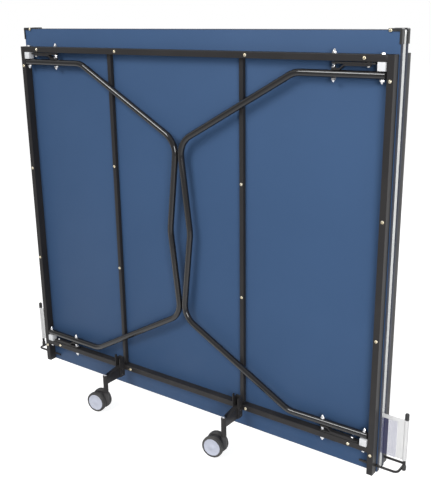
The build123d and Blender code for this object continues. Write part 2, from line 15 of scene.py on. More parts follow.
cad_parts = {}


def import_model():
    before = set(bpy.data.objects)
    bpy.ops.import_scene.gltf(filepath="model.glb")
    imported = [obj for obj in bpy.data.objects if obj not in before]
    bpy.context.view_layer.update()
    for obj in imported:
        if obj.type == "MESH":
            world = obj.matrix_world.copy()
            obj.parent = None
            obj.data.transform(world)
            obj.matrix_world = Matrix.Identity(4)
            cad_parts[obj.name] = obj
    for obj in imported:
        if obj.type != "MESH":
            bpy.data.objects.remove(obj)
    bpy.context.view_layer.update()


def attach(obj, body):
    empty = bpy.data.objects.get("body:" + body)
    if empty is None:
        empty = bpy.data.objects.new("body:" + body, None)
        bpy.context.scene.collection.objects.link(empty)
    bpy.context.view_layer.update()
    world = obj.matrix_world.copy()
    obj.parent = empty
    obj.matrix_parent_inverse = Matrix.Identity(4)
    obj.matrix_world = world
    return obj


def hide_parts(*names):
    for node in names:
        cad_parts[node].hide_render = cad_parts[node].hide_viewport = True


LOG = logging.getLogger("table")
Point = tuple[float, float, float]
Colour = tuple[float, float, float]
Span = tuple[float, float]
Profile = Sequence[tuple[float, float]]
Seats = list[tuple[Point, Point]]
Mesh = bpy.types.Mesh
Socket = bpy.types.NodeSocket


class Half(Enum):
    """The two halves of the table: the far one is the near one turned half a turn about Z."""

    NEAR = "near"
    FAR = "far"

    @property
    def turn(self) -> Matrix:
        """Matrix that takes a near piece to this half."""
        return Matrix.Rotation(math.pi if self is Half.FAR else 0.0, 4, "Z")

    @property
    def body(self) -> str:
        """CAD body of this half's top and frame."""
        return f"{self.value}_half"

    @property
    def mids(self) -> tuple[float, float]:
        """Places of this half's middle tubes and casters, set as the near half stands."""
        return SIZES.far_mid_tubes if self is Half.FAR else SIZES.near_mid_tubes

    @property
    def heading(self) -> float:
        """Turn of this half's casters from trailing along -X."""
        return SIZES.far_heading if self is Half.FAR else SIZES.near_heading


class Side(Enum):
    """Left and right of someone who faces the underside of a half, as the sign of x."""

    LEFT = -1
    RIGHT = 1

    @property
    def word(self) -> str:
        """Plain name of the side."""
        return self.name.lower()


class Seat(Enum):
    """Which way a fastener points from the surface it sits on, in the near half."""

    UP = (0.0, 0.0, 1.0)
    DOWN = (0.0, 0.0, -1.0)
    OUT = (0.0, -1.0, 0.0)
    LEFT = (-1.0, 0.0, 0.0)
    RIGHT = (1.0, 0.0, 0.0)


class Skin(Enum):
    """Finishes of a top, in the order of their material numbers."""

    UNDERSIDE = "underside_lacquer"
    PLAYING = "playing_lacquer"
    EDGE = "edge_band"


@dataclass(frozen=True)
class TableSizes:
    """Main sizes of the table in metres, the same as the solids'."""

    width: float = 1.525
    edge_z: float = 0.062
    end_z: float = 1.432
    play_y: float = -0.0095
    under_y: float = -0.0255
    frame_y: float = -0.0555
    mid_tube_y: float = -0.0405
    side_x: float = 0.7485
    net_rail_z: float = 0.150
    end_rail_z: float = 1.358
    rail_mid_z: float = 0.754
    rail_half: float = 0.010
    near_mid_tubes: tuple[float, float] = (-0.315, 0.247)
    far_mid_tubes: tuple[float, float] = (-0.337, 0.225)
    pivot_x: float = 0.723
    pivot_y: float = -0.0475
    stay_x: float = 0.574
    leg_z: float = 1.312
    leg_radius: float = 0.011
    leg_tilt: float = math.radians(0.75)
    hinge_y: float = -0.0315
    hinge_z: float = 0.0895
    post_x: float = 0.841
    net_top: float = 0.264
    net_low: float = 0.122
    mesh_top: float = 0.249
    mesh_end: float = 0.812
    caster_y: float = -0.1525
    axle_z: float = 0.0395
    trail: float = 0.034
    near_heading: float = math.radians(8.5)
    far_heading: float = math.radians(171.5)

    def flipped(self, z: float) -> float:
        """Height z mirrored about the middle between the two rails."""
        return 2 * self.rail_mid_z - z


SIZES = TableSizes()


def stand(name: str, data: bpy.types.ID) -> bpy.types.Object:
    """Puts a mesh, camera or lamp into the scene.

    Args:
        name: name of the object.
        data: what the object shows.

    Returns:
        The new object, at the origin.
    """
    made = bpy.data.objects.new(name, data)
    bpy.context.scene.collection.objects.link(made)
    return made


class Forge:
    """Adds nodes to one tree and links them by socket name, or by number where names repeat."""

    MIX_FACTOR = 0
    MIX_FIRST = 6
    MIX_SECOND = 7
    MIX_RESULT = 2

    def __init__(self, tree: bpy.types.NodeTree) -> None:
        """Keeps the tree that the nodes go into."""
        self.tree = tree

    @classmethod
    def on(cls, holder: bpy.types.Material | bpy.types.World) -> Forge:
        """Forge for the emptied tree of a material or of the world."""
        holder.use_nodes = True
        holder.node_tree.nodes.clear()
        return cls(holder.node_tree)

    def node(self, kind: str, inputs: dict[Any, Any] | None = None, **settings: Any) -> bpy.types.Node:
        """Adds one node.

        Args:
            kind: Blender's type name of the node.
            inputs: socket name or number to a value, or to the socket that feeds it.
            settings: properties of the node itself.

        Returns:
            The new node.
        """
        made = self.tree.nodes.new(kind)
        for name, value in settings.items():
            setattr(made, name, value)
        for key, value in (inputs or {}).items():
            if isinstance(value, Socket):
                self.tree.links.new(value, made.inputs[key])
            else:
                made.inputs[key].default_value = value
        return made

    def place(self) -> Socket:
        """Place on the surface, in the object's own frame."""
        return self.node("ShaderNodeTexCoord").outputs["Object"]

    def parts(self, vector: Socket) -> Any:
        """Outputs X, Y and Z of a vector."""
        return self.node("ShaderNodeSeparateXYZ", {0: vector}).outputs

    def noise(self, place: Socket, scale: Any, detail: float) -> Socket:
        """Adds a noise texture.

        Args:
            place: where on the surface.
            scale: how fine it is, as a value or a socket.
            detail: its number of octaves.

        Returns:
            The socket of its grey value.
        """
        inputs = {"Vector": place, "Scale": scale, "Detail": detail}
        return self.node("ShaderNodeTexNoise", inputs).outputs["Fac"]

    def math(self, kind: str, a: Any, b: Any = 0.0, clamp: bool = False) -> Socket:
        """Adds a Math node.

        Args:
            kind: its operation.
            a: first value or socket.
            b: second value or socket.
            clamp: whether the result is held between 0 and 1.

        Returns:
            The result's socket.
        """
        return self.node("ShaderNodeMath", {0: a, 1: b}, operation=kind, use_clamp=clamp).outputs[0]

    def ramp(self, value: Socket, ends: Span, to: Span = (0.0, 1.0)) -> Socket:
        """Adds a Map Range node that is held at its ends.

        Args:
            value: socket to map.
            ends: values that give the first and the second result.
            to: the two results.

        Returns:
            The result's socket.
        """
        inputs = {"Value": value, "From Min": ends[0], "From Max": ends[1], "To Min": to[0], "To Max": to[1]}
        return self.node("ShaderNodeMapRange", inputs).outputs["Result"]

    def blend(self, factor: Any, a: Any, b: Any, kind: str = "MIX") -> Socket:
        """Adds a colour mix.

        Args:
            factor: socket or value from 0, the first colour, to 1.
            a: first colour or socket.
            b: second colour or socket.
            kind: blend type.

        Returns:
            The mixed colour's socket.
        """
        inputs = {self.MIX_FACTOR: factor}
        for number, colour in ((self.MIX_FIRST, a), (self.MIX_SECOND, b)):
            inputs[number] = (*colour, 1.0) if isinstance(colour, tuple) else colour
        return self.node("ShaderNodeMix", inputs, data_type="RGBA", blend_type=kind).outputs[self.MIX_RESULT]


class ShaderGroups:
    """Shader effects that several finishes share, each built once."""

    FINE_DETAIL = 2.0
    BROAD_DETAIL = 4.0
    DUST_CLOUDS = 22.0
    DUST_DETAIL = 6.0
    DUST_EDGES = (0.4, 0.75)
    SCUFF_STRETCH = (40.0, 40.0, 6.0)
    SCUFF_SCALE = 5.0
    SCUFF_DETAIL = 8.0
    SCUFF_EDGES = (0.66, 0.72)
    TAPE_CLOUDS = 35.0
    TAPE_DETAIL = 3.0

    def __init__(self) -> None:
        """Builds every group."""
        self.grain = self._grain()
        self.age = self._age()
        self.weave = self._weave()

    @staticmethod
    def _start(name: str, inputs: dict[str, float],
               outputs: Iterable[str]) -> tuple[Forge, dict[str, Socket]]:
        """Makes an empty group.

        Args:
            name: name of the group.
            inputs: input names and their usual values.
            outputs: output names.

        Returns:
            The forge, and the input sockets by name.
        """
        tree = bpy.data.node_groups.new(name, "ShaderNodeTree")
        for label, value in inputs.items():
            socket = tree.interface.new_socket(label, in_out="INPUT", socket_type="NodeSocketFloat")
            socket.default_value = value
        for label in outputs:
            tree.interface.new_socket(label, in_out="OUTPUT", socket_type="NodeSocketFloat")
        forge = Forge(tree)
        entry = forge.node("NodeGroupInput").outputs
        return forge, {label: entry[label] for label in inputs}

    def _grain(self) -> bpy.types.NodeTree:
        """Fine ripple of a sprayed or moulded skin, and broad mottling."""
        forge, entry = self._start("surface_grain", {"Fine": 900.0, "Broad": 6.0}, ("Height", "Mottle"))
        place = forge.place()
        fine = forge.noise(place, entry["Fine"], self.FINE_DETAIL)
        broad = forge.noise(place, entry["Broad"], self.BROAD_DETAIL)
        forge.node("NodeGroupOutput", {"Height": fine, "Mottle": broad})
        return forge.tree

    def _age(self) -> bpy.types.NodeTree:
        """Dust that gathers towards the floor, and thin scuffs all over."""
        forge, entry = self._start("age", {"Dust height": 0.35, "Scuffs": 0.5}, ("Dust", "Scuff"))
        place = forge.place()
        height = forge.math("DIVIDE", forge.parts(place)["Z"], entry["Dust height"])
        near_floor = forge.math("SUBTRACT", 1.0, height, True)
        cloud = forge.noise(place, self.DUST_CLOUDS, self.DUST_DETAIL)
        dust = forge.math("MULTIPLY", near_floor, forge.ramp(cloud, self.DUST_EDGES))
        long = forge.node("ShaderNodeMapping", {"Vector": place, "Scale": self.SCUFF_STRETCH}).outputs[0]
        streak = forge.noise(long, self.SCUFF_SCALE, self.SCUFF_DETAIL)
        scuff = forge.math("MULTIPLY", forge.ramp(streak, self.SCUFF_EDGES), entry["Scuffs"])
        forge.node("NodeGroupOutput", {"Dust": dust, "Scuff": scuff})
        return forge.tree

    def _weave(self) -> bpy.types.NodeTree:
        """Plain weave of a tape that lies in the plane of the net."""
        forge, entry = self._start("weave", {"Threads": 700.0}, ("Height", "Shade"))
        place = forge.place()
        spread = forge.node("ShaderNodeVectorMath", {0: place, 3: entry["Threads"]}, operation="SCALE")
        parts = forge.parts(spread.outputs[0])
        across = forge.math("SINE", forge.math("MULTIPLY", parts["X"], math.pi))
        along = forge.math("SINE", forge.math("MULTIPLY", parts["Z"], math.pi))
        height = forge.ramp(forge.math("MULTIPLY", across, along), (-1.0, 1.0))
        shade = forge.noise(place, self.TAPE_CLOUDS, self.TAPE_DETAIL)
        forge.node("NodeGroupOutput", {"Height": height, "Shade": shade})
        return forge.tree


@dataclass(frozen=True)
class Finish:
    """A coated, plated or moulded finish with grain, mottling, dust and scuffs."""

    name: str
    slot: str
    colour: Colour
    shade: Colour
    roughness: float
    metallic: float = 0.0
    fine: float = 900.0
    broad: float = 6.0
    bump: float = 0.05
    bump_depth: float = 0.001
    dust: float = 0.25
    scuffs: float = 0.3
    scuff_colour: Colour = (0.25, 0.25, 0.26)
    dust_colour: Colour = (0.34, 0.32, 0.29)
    dust_roughness: float = 0.6
    coat: float = 0.0
    coat_roughness: float = 0.18
    specular: float = 0.5
    tone_edges: Span = (0.3, 0.7)
    polish_edges: Span = (0.25, 0.75)
    polish_spread: float = 0.15

    def build(self, groups: ShaderGroups) -> bpy.types.Material:
        """Makes the material.

        Args:
            groups: the shared shader effects.

        Returns:
            The new material.
        """
        material = bpy.data.materials.new(self.name)
        forge = Forge.on(material)
        shader = forge.node("ShaderNodeBsdfPrincipled", self.surface(forge, groups))
        forge.node("ShaderNodeOutputMaterial", {"Surface": shader.outputs[0]})
        return material

    def surface(self, forge: Forge, groups: ShaderGroups) -> dict[str, Any]:
        """Adds the nodes that feed the shader.

        Args:
            forge: forge of the material's tree.
            groups: the shared shader effects.

        Returns:
            The shader's inputs by name.
        """
        scales = {"Fine": self.fine, "Broad": self.broad}
        grain = forge.node("ShaderNodeGroup", scales, node_tree=groups.grain)
        age = forge.node("ShaderNodeGroup", {"Scuffs": self.scuffs}, node_tree=groups.age)
        mottle, dust = grain.outputs["Mottle"], age.outputs["Dust"]
        scuffed = forge.blend(age.outputs["Scuff"], self.tone(forge, mottle), self.scuff_colour)
        dusty = forge.blend(forge.math("MULTIPLY", dust, self.dust), scuffed, self.dust_colour)
        polish = (self.roughness * (1 - self.polish_spread), self.roughness * (1 + self.polish_spread))
        dull = forge.math("MULTIPLY", dust, self.dust * self.dust_roughness)
        rough = forge.math("ADD", forge.ramp(mottle, self.polish_edges, polish), dull, True)
        return {
            "Base Color": dusty,
            "Roughness": rough,
            "Metallic": self.metallic,
            "Specular IOR Level": self.specular,
            "Coat Weight": self.coat,
            "Coat Roughness": self.coat_roughness,
            "Normal": self.relief(forge, grain.outputs["Height"]),
        }

    def tone(self, forge: Forge, mottle: Socket) -> Socket:
        """Colour before wear: the two tones of the finish, mottled.

        Args:
            forge: forge of the material's tree.
            mottle: socket of the broad mottling.

        Returns:
            The colour's socket.
        """
        return forge.blend(forge.ramp(mottle, self.tone_edges), self.colour, self.shade)

    def relief(self, forge: Forge, height: Socket) -> Socket:
        """Adds the bump of the surface.

        Args:
            forge: forge of the material's tree.
            height: socket of the height.

        Returns:
            The normal's socket.
        """
        inputs = {"Height": height, "Strength": self.bump, "Distance": self.bump_depth}
        return forge.node("ShaderNodeBump", inputs).outputs[0]


@dataclass(frozen=True)
class LinedFinish(Finish):
    """Lacquer of the playing face, with white lines along its sides, its end and its middle."""

    line_colour: Colour = (0.88, 0.89, 0.88)
    line_width: float = 0.020
    centre_width: float = 0.003

    def tone(self, forge: Forge, mottle: Socket) -> Socket:
        """Lacquer colour with the lines laid over it.

        Args:
            forge: forge of the material's tree.
            mottle: socket of the broad mottling.

        Returns:
            The colour's socket.
        """
        ground = super().tone(forge, mottle)
        place = forge.parts(forge.place())
        from_middle = forge.math("ABSOLUTE", place["X"])
        side = forge.math("GREATER_THAN", from_middle, SIZES.width / 2 - self.line_width)
        end = forge.math("GREATER_THAN", place["Z"], SIZES.end_z - self.line_width)
        centre = forge.math("LESS_THAN", from_middle, self.centre_width / 2)
        line = forge.math("MAXIMUM", forge.math("MAXIMUM", side, end), centre)
        return forge.blend(line, ground, self.line_colour)


@dataclass(frozen=True)
class TapeFinish(Finish):
    """Woven white tape of the net's binding, with painted shade: its colour is darker in the hollows of the
    weave.
    """

    bump_depth: float = 0.0006
    threads: float = 700.0
    # Share of the colour left in the weave's hollows: painted shade between the threads.
    hollow: float = 0.86
    sheen: float = 0.25

    def surface(self, forge: Forge, groups: ShaderGroups) -> dict[str, Any]:
        """Adds the nodes that feed the shader.

        Args:
            forge: forge of the material's tree.
            groups: the shared shader effects.

        Returns:
            The shader's inputs by name.
        """
        weave = forge.node("ShaderNodeGroup", {"Threads": self.threads}, node_tree=groups.weave).outputs
        # Painted shade: the colour is multiplied down where the weave is low, as if shaded between the
        # threads.
        depth = forge.ramp(weave["Height"], (0.0, 1.0), (self.hollow, 1.0))
        grey = forge.node("ShaderNodeCombineColor", {0: depth, 1: depth, 2: depth}).outputs[0]
        return {
            "Base Color": forge.blend(1.0, self.tone(forge, weave["Shade"]), grey, "MULTIPLY"),
            "Roughness": self.roughness,
            "Sheen Weight": self.sheen,
            "Normal": self.relief(forge, weave["Height"]),
        }


FINISHES: tuple[Finish, ...] = (
    Finish("underside_lacquer", "tabletop", (0.051, 0.103, 0.212), (0.047, 0.096, 0.199), 0.5,
           broad=3.0, bump=0.06, fine=420.0, dust=0.04, scuffs=0.05, scuff_colour=(0.09, 0.15, 0.27),
           specular=0.15),
    LinedFinish("playing_lacquer", "tabletop", (0.020, 0.050, 0.115), (0.017, 0.043, 0.10), 0.55,
                broad=3.0, bump=0.05, dust=0.0, scuffs=0.05),
    Finish("edge_band", "tabletop", (0.043, 0.050, 0.076), (0.036, 0.041, 0.062), 0.5,
           broad=9.0, dust=0.15, scuffs=0.1, specular=0.15),
    Finish("satin_black", "frame", (0.026, 0.025, 0.026), (0.033, 0.031, 0.031), 0.40,
           fine=650.0, bump=0.10, dust=0.06, scuffs=0.12, scuff_colour=(0.10, 0.10, 0.10), specular=0.2),
    Finish("gloss_black", "frame", (0.011, 0.011, 0.012), (0.015, 0.014, 0.015), 0.12,
           fine=650.0, bump=0.02, dust=0.03, scuffs=0.15, scuff_colour=(0.10, 0.10, 0.10), specular=0.6),
    Finish("bright_plate", "bright_steel", (0.80, 0.80, 0.81), (0.66, 0.66, 0.68), 0.24,
           metallic=1.0, fine=300.0, broad=60.0, bump=0.02, dust=0.05, scuffs=0.15),
    Finish("yellow_zinc", "screws", (0.74, 0.64, 0.43), (0.70, 0.66, 0.56), 0.28,
           metallic=1.0, fine=300.0, broad=70.0, bump=0.02, dust=0.05, scuffs=0.1),
    Finish("white_moulding", "white_plastic", (0.80, 0.81, 0.83), (0.74, 0.75, 0.78), 0.42,
           bump=0.04, dust=0.05, scuffs=0.1, scuff_colour=(0.5, 0.5, 0.5)),
    Finish("black_moulding", "black_plastic", (0.020, 0.020, 0.021), (0.028, 0.028, 0.029), 0.42,
           bump=0.12, dust=0.2, scuffs=0.15),
    Finish("caster_grey", "caster_body", (0.032, 0.032, 0.036), (0.042, 0.042, 0.046), 0.42,
           bump=0.1, dust=0.2, scuffs=0.2, specular=0.3),
    Finish("tread_grey", "caster_tread", (0.042, 0.042, 0.044), (0.054, 0.054, 0.055), 0.55,
           fine=1200.0, bump=0.25, dust=0.25, scuffs=0.2, specular=0.3),
    Finish("pale_disc", "hub_disc", (0.64, 0.67, 0.77), (0.59, 0.62, 0.73), 0.35,
           bump=0.03, dust=0.06, scuffs=0.1, coat=0.2),
    Finish("net_cord", "net_mesh", (0.022, 0.025, 0.19), (0.018, 0.021, 0.17), 0.8,
           fine=1500.0, bump=0.4, dust=0.0, scuffs=0.0, specular=0.2),
    TapeFinish("white_tape", "net_binding", (0.90, 0.90, 0.90), (0.86, 0.86, 0.86), 0.85, bump=0.35),
)


class Palette:
    """Every finish, made into a material once and found by name."""

    def __init__(self) -> None:
        """Builds the shared shader groups and all materials."""
        groups = ShaderGroups()
        self.finishes = {finish.name: finish for finish in FINISHES}
        self.materials = {finish.name: finish.build(groups) for finish in FINISHES}

    def __getitem__(self, name: str) -> bpy.types.Material:
        """Material of that finish."""
        return self.materials[name]

    def slot(self, name: str) -> str:
        """Record slot of that finish."""
        return self.finishes[name].slot


class Shapes:
    """Profiles and meshes that more than one sub-assembly uses."""

    CREASE = math.radians(35.0)
    SHARP = math.radians(50.0)
    FLAT = math.radians(0.5)
    MERGE = 1e-6
    EDGE_STEPS = 3

    @staticmethod
    def smooth(mesh: Mesh) -> Mesh:
        """Shades a mesh smooth except across its creases."""
        mesh.polygons.foreach_set("use_smooth", [True] * len(mesh.polygons))
        mesh.set_sharp_from_angle(angle=Shapes.CREASE)
        return mesh

    @staticmethod
    def taken(name: str, bm: bmesh.types.BMesh) -> Mesh:
        """Takes a mesh out of the bmesh that it was made in, and shades it smooth."""
        mesh = bpy.data.meshes.new(name)
        bm.to_mesh(mesh)
        bm.free()
        return Shapes.smooth(mesh)

    @staticmethod
    def raised(profile: Profile, height: float) -> list[tuple[float, float]]:
        """Profile moved up by a height."""
        return [(radius, rise + height) for radius, rise in profile]

    @staticmethod
    def rim(radius: float, end: float, edge: Profile, way: int = 1) -> list[tuple[float, float]]:
        """Rings of one rounded edge.

        Args:
            radius: full radius of the shape.
            end: height of the end that the edge goes round.
            edge: how far each ring lies in from the radius and from the end.
            way: 1 for a lower edge, and -1 for an upper one.

        Returns:
            The rings, in the order of the edge.
        """
        return [(radius - inset, end + way * depth) for inset, depth in edge]

    @staticmethod
    def arch(radius: float, low: float, rise: float, steps: int) -> list[tuple[float, float]]:
        """Rings of a dome between its rim and its top.

        Args:
            radius: radius of the rim.
            low: height of the rim.
            rise: height of the top above the rim.
            steps: steps from the rim to the top.

        Returns:
            The rings, without the rim and the top.
        """
        angles = [math.pi / 2 * step / steps for step in range(1, steps)]
        return [(radius * math.cos(angle), low + rise * math.sin(angle)) for angle in angles]

    @staticmethod
    def lathe(name: str, profile: Profile, segments: int = 48) -> Mesh:
        """Turns a profile about Z.

        Args:
            name: name of the mesh.
            profile: radius and height of each ring; a first or last radius of 0 closes that end.
            segments: steps round the axis.

        Returns:
            The closed mesh, with its faces outwards.
        """
        bm = bmesh.new()
        rings = []
        for radius, height in profile:
            ring = []
            for step in range(segments if radius else 1):
                angle = 2 * math.pi * step / segments
                ring.append(bm.verts.new((radius * math.cos(angle), radius * math.sin(angle), height)))
            rings.append(ring)
        for low, high in zip(rings, rings[1:]):
            for step in range(segments):
                after = (step + 1) % segments
                around = ((low, step), (low, after), (high, after), (high, step))
                corners = [ring[number % len(ring)] for ring, number in around]
                bm.faces.new(list(dict.fromkeys(corners)))
        bmesh.ops.recalc_face_normals(bm, faces=bm.faces)
        return Shapes.taken(name, bm)

    @staticmethod
    def softened(node: str, radius: float, least: float) -> Mesh:
        """Copy of a CAD node with its long sharp edges rounded.

        Args:
            node: name of the CAD node.
            radius: radius of the rounding in metres.
            least: shortest edge that is rounded.

        Returns:
            The rounded mesh.
        """
        bm = bmesh.new()
        bm.from_mesh(bpy.data.objects[node].data)
        bmesh.ops.remove_doubles(bm, verts=bm.verts, dist=Shapes.MERGE)
        bmesh.ops.dissolve_limit(bm, angle_limit=Shapes.FLAT, verts=bm.verts, edges=bm.edges)
        long = [edge for edge in bm.edges if len(edge.link_faces) == 2 and edge.calc_length() > least]
        sharp = [edge for edge in long if edge.calc_face_angle() > Shapes.SHARP]
        bmesh.ops.bevel(bm, geom=sharp, offset=radius, segments=Shapes.EDGE_STEPS, profile=0.5,
                        affect="EDGES", clamp_overlap=True)
        return Shapes.taken(node + "_soft", bm)

    @staticmethod
    def joined(name: str, meshes: Iterable[Mesh]) -> Mesh:
        """Several meshes as one."""
        bm = bmesh.new()
        for mesh in meshes:
            bm.from_mesh(mesh)
        return Shapes.taken(name, bm)

    @staticmethod
    def placed(mesh: Mesh, matrix: Matrix) -> Mesh:
        """Copy of a mesh in another place."""
        copy = mesh.copy()
        copy.transform(matrix)
        return copy


class Bench:
    """Sets finished meshes out as pieces: material and body, with the CAD nodes they stand for hidden."""

    def __init__(self, palette: Palette) -> None:
        """Keeps the palette."""
        self.palette = palette

    def piece(self, name: str, mesh: Mesh, finishes: Sequence[str], body: str,
              replaced: Sequence[str] = ()) -> bpy.types.Object:
        """Makes one piece of the table.

        Args:
            name: plain name of the piece.
            mesh: its mesh, in place.
            finishes: finish names, in the order of the mesh's material numbers.
            body: CAD body that it rides on.
            replaced: CAD nodes that it stands for.

        Returns:
            The new object.
        """
        for number, finish in enumerate(finishes):
            if number < len(mesh.materials):
                mesh.materials[number] = self.palette[finish]
            else:
                mesh.materials.append(self.palette[finish])
        made = stand(name, mesh)
        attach(made, body)
        self.palette.slot(finishes[0])
        if replaced:
            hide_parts(*replaced)
        LOG.info("%s on %s, %d faces", name, body, len(mesh.polygons))
        return made


class Tree:
    """A Geometry Nodes tree with named inputs, which is run on a mesh and gives a plain mesh back."""

    def __init__(self, name: str, inputs: dict[str, str]) -> None:
        """Makes the empty tree.

        Args:
            name: name of the tree.
            inputs: names and socket types of the inputs between the geometry and the material.
        """
        tree = bpy.data.node_groups.new(name, "GeometryNodeTree")
        tree.interface.new_socket("Geometry", in_out="INPUT", socket_type="NodeSocketGeometry")
        self.names: dict[str, str] = {}
        for label, kind in {**inputs, "Material": "NodeSocketMaterial"}.items():
            self.names[label] = tree.interface.new_socket(label, in_out="INPUT", socket_type=kind).identifier
        tree.interface.new_socket("Geometry", in_out="OUTPUT", socket_type="NodeSocketGeometry")
        self.forge = Forge(tree)
        self.entry = self.forge.node("NodeGroupInput").outputs

    def add(self, kind: str, inputs: dict[Any, Any] | None = None, **settings: Any) -> Any:
        """Adds one node as the forge does, and gives its first output."""
        return self.forge.node(kind, inputs, **settings).outputs[0]

    def close(self, result: Socket) -> None:
        """Ends the tree: instances made real, shaded smooth, material set.

        Args:
            result: socket of the geometry.
        """
        real = self.add("GeometryNodeRealizeInstances", {"Geometry": result})
        shaded = self.add("GeometryNodeSetShadeSmooth", {"Geometry": real})
        finish = {"Geometry": shaded, "Material": self.entry["Material"]}
        self.forge.node("NodeGroupOutput", {"Geometry": self.add("GeometryNodeSetMaterial", finish)})

    def run(self, name: str, base: Mesh, values: dict[str, Any]) -> Mesh:
        """Runs the tree.

        Args:
            name: name of the resulting mesh.
            base: mesh that it starts from.
            values: input names and values.

        Returns:
            The plain mesh.
        """
        carrier = stand(name + "_carrier", base)
        modifier = carrier.modifiers.new(name, "NODES")
        modifier.node_group = self.forge.tree
        for label, value in values.items():
            modifier[self.names[label]] = value
        graph = bpy.context.evaluated_depsgraph_get()
        mesh = bpy.data.meshes.new_from_object(carrier.evaluated_get(graph), depsgraph=graph)
        mesh.name = name
        carrier.modifiers.remove(modifier)
        bpy.data.objects.remove(carrier)
        return Shapes.smooth(mesh)


class BentTube(Tree):
    """Tube bent along straight runs, with its own radius at each corner."""

    SIDES = 28

    def __init__(self) -> None:
        """Builds the tree."""
        super().__init__("bent_tube", {"Tube radius": "NodeSocketFloat", "Bend steps": "NodeSocketInt"})
        line = self.add("GeometryNodeMeshToCurve", {"Mesh": self.entry["Geometry"]})
        bend = self.add("GeometryNodeInputNamedAttribute", {"Name": "bend"}, data_type="FLOAT")
        arcs = {"Curve": line, "Radius": bend, "Count": self.entry["Bend steps"], "Limit Radius": False}
        bent = self.add("GeometryNodeFilletCurve", arcs, mode="POLY")
        section = {"Resolution": self.SIDES, "Radius": self.entry["Tube radius"]}
        ring = self.add("GeometryNodeCurvePrimitiveCircle", section)
        wall = {"Curve": bent, "Profile Curve": ring, "Fill Caps": True}
        self.close(self.add("GeometryNodeCurveToMesh", wall))

    def bent(self, name: str, corners: Sequence[Point], bends: Sequence[float], radius: float, steps: int,
             material: bpy.types.Material) -> Mesh:
        """Makes one bent tube.

        Args:
            name: name of the mesh.
            corners: end points and unrounded corners, in order.
            bends: bend radius at each point.
            radius: tube radius.
            steps: short runs in each bend.
            material: material of the tube.

        Returns:
            The tube's mesh.
        """
        line = bpy.data.meshes.new(name + "_line")
        line.from_pydata(list(corners), [(i, i + 1) for i in range(len(corners) - 1)], [])
        line.attributes.new("bend", "FLOAT", "POINT").data.foreach_set("value", list(bends))
        return self.run(name, line, {"Tube radius": radius, "Bend steps": steps, "Material": material})


class Scatter(Tree):
    """Puts one shape at every point of a mesh, pointing along the point's own direction."""

    SPIN = 1.7

    def __init__(self) -> None:
        """Builds the tree."""
        super().__init__("fastener_scatter", {"Shape": "NodeSocketObject", "Size": "NodeSocketFloat"})
        shape = self.forge.node("GeometryNodeObjectInfo", {"Object": self.entry["Shape"]}).outputs["Geometry"]
        way = self.add("GeometryNodeInputNamedAttribute", {"Name": "way"}, data_type="FLOAT_VECTOR")
        spin = self.add("GeometryNodeInputNamedAttribute", {"Name": "spin"}, data_type="FLOAT")
        aim = self.add("FunctionNodeAlignRotationToVector", {"Vector": way}, axis="Z")
        euler = self.add("FunctionNodeEulerToRotation", {0: self.add("ShaderNodeCombineXYZ", {"Z": spin})})
        turn = self.add("FunctionNodeRotateRotation", {0: aim, 1: euler}, rotation_space="LOCAL")
        copies = {"Points": self.entry["Geometry"], "Instance": shape, "Rotation": turn,
                  "Scale": self.entry["Size"]}
        self.close(self.add("GeometryNodeInstanceOnPoints", copies))

    def spread(self, name: str, shape: Mesh, seats: Seats, material: bpy.types.Material,
               size: float = 1.0) -> Mesh:
        """Puts the shape on every seat.

        Args:
            name: name of the mesh.
            shape: mesh that stands on z = 0 and points up.
            seats: place and direction of each copy.
            material: material of the copies.
            size: scale of the copies.

        Returns:
            All copies as one mesh.
        """
        points = bpy.data.meshes.new(name + "_points")
        points.from_pydata([place for place, _ in seats], [], [])
        ways = [value for _, way in seats for value in way]
        points.attributes.new("way", "FLOAT_VECTOR", "POINT").data.foreach_set("vector", ways)
        spins = [math.fmod(self.SPIN * number, math.tau) for number in range(len(seats))]
        points.attributes.new("spin", "FLOAT", "POINT").data.foreach_set("value", spins)
        model = stand(name + "_shape", shape)
        mesh = self.run(name, points, {"Shape": model, "Size": size, "Material": material})
        bpy.data.objects.remove(model)
        return mesh


class NetWeb(Tree):
    """Square net of thin cords, with a little slack in every cord."""

    SIDES = 4
    WAVES = 60.0
    MIDDLE = (0.5, 0.5, 0.5)
    SHARES = (1.0, 0.2, 1.0)

    def __init__(self) -> None:
        """Builds the tree."""
        kinds = {"Cord radius": "NodeSocketFloat", "Slack": "NodeSocketFloat", "Seed": "NodeSocketInt"}
        super().__init__("net_web", kinds)
        place = self.add("GeometryNodeInputPosition")
        waves = {"Vector": place, "W": self.entry["Seed"], "Scale": self.WAVES}
        noise = self.forge.node("ShaderNodeTexNoise", waves, noise_dimensions="4D").outputs["Color"]
        centred = self.add("ShaderNodeVectorMath", {0: noise, 1: self.MIDDLE}, operation="SUBTRACT")
        slack = {0: centred, "Scale": self.entry["Slack"]}
        shift = self.add("ShaderNodeVectorMath", slack, operation="SCALE")
        flat = self.add("ShaderNodeVectorMath", {0: shift, 1: self.SHARES}, operation="MULTIPLY")
        moved = self.add("GeometryNodeSetPosition", {"Geometry": self.entry["Geometry"], "Offset": flat})
        line = self.add("GeometryNodeMeshToCurve", {"Mesh": moved})
        section = {"Resolution": self.SIDES, "Radius": self.entry["Cord radius"]}
        ring = self.add("GeometryNodeCurvePrimitiveCircle", section)
        self.close(self.add("GeometryNodeCurveToMesh", {"Curve": line, "Profile Curve": ring}))


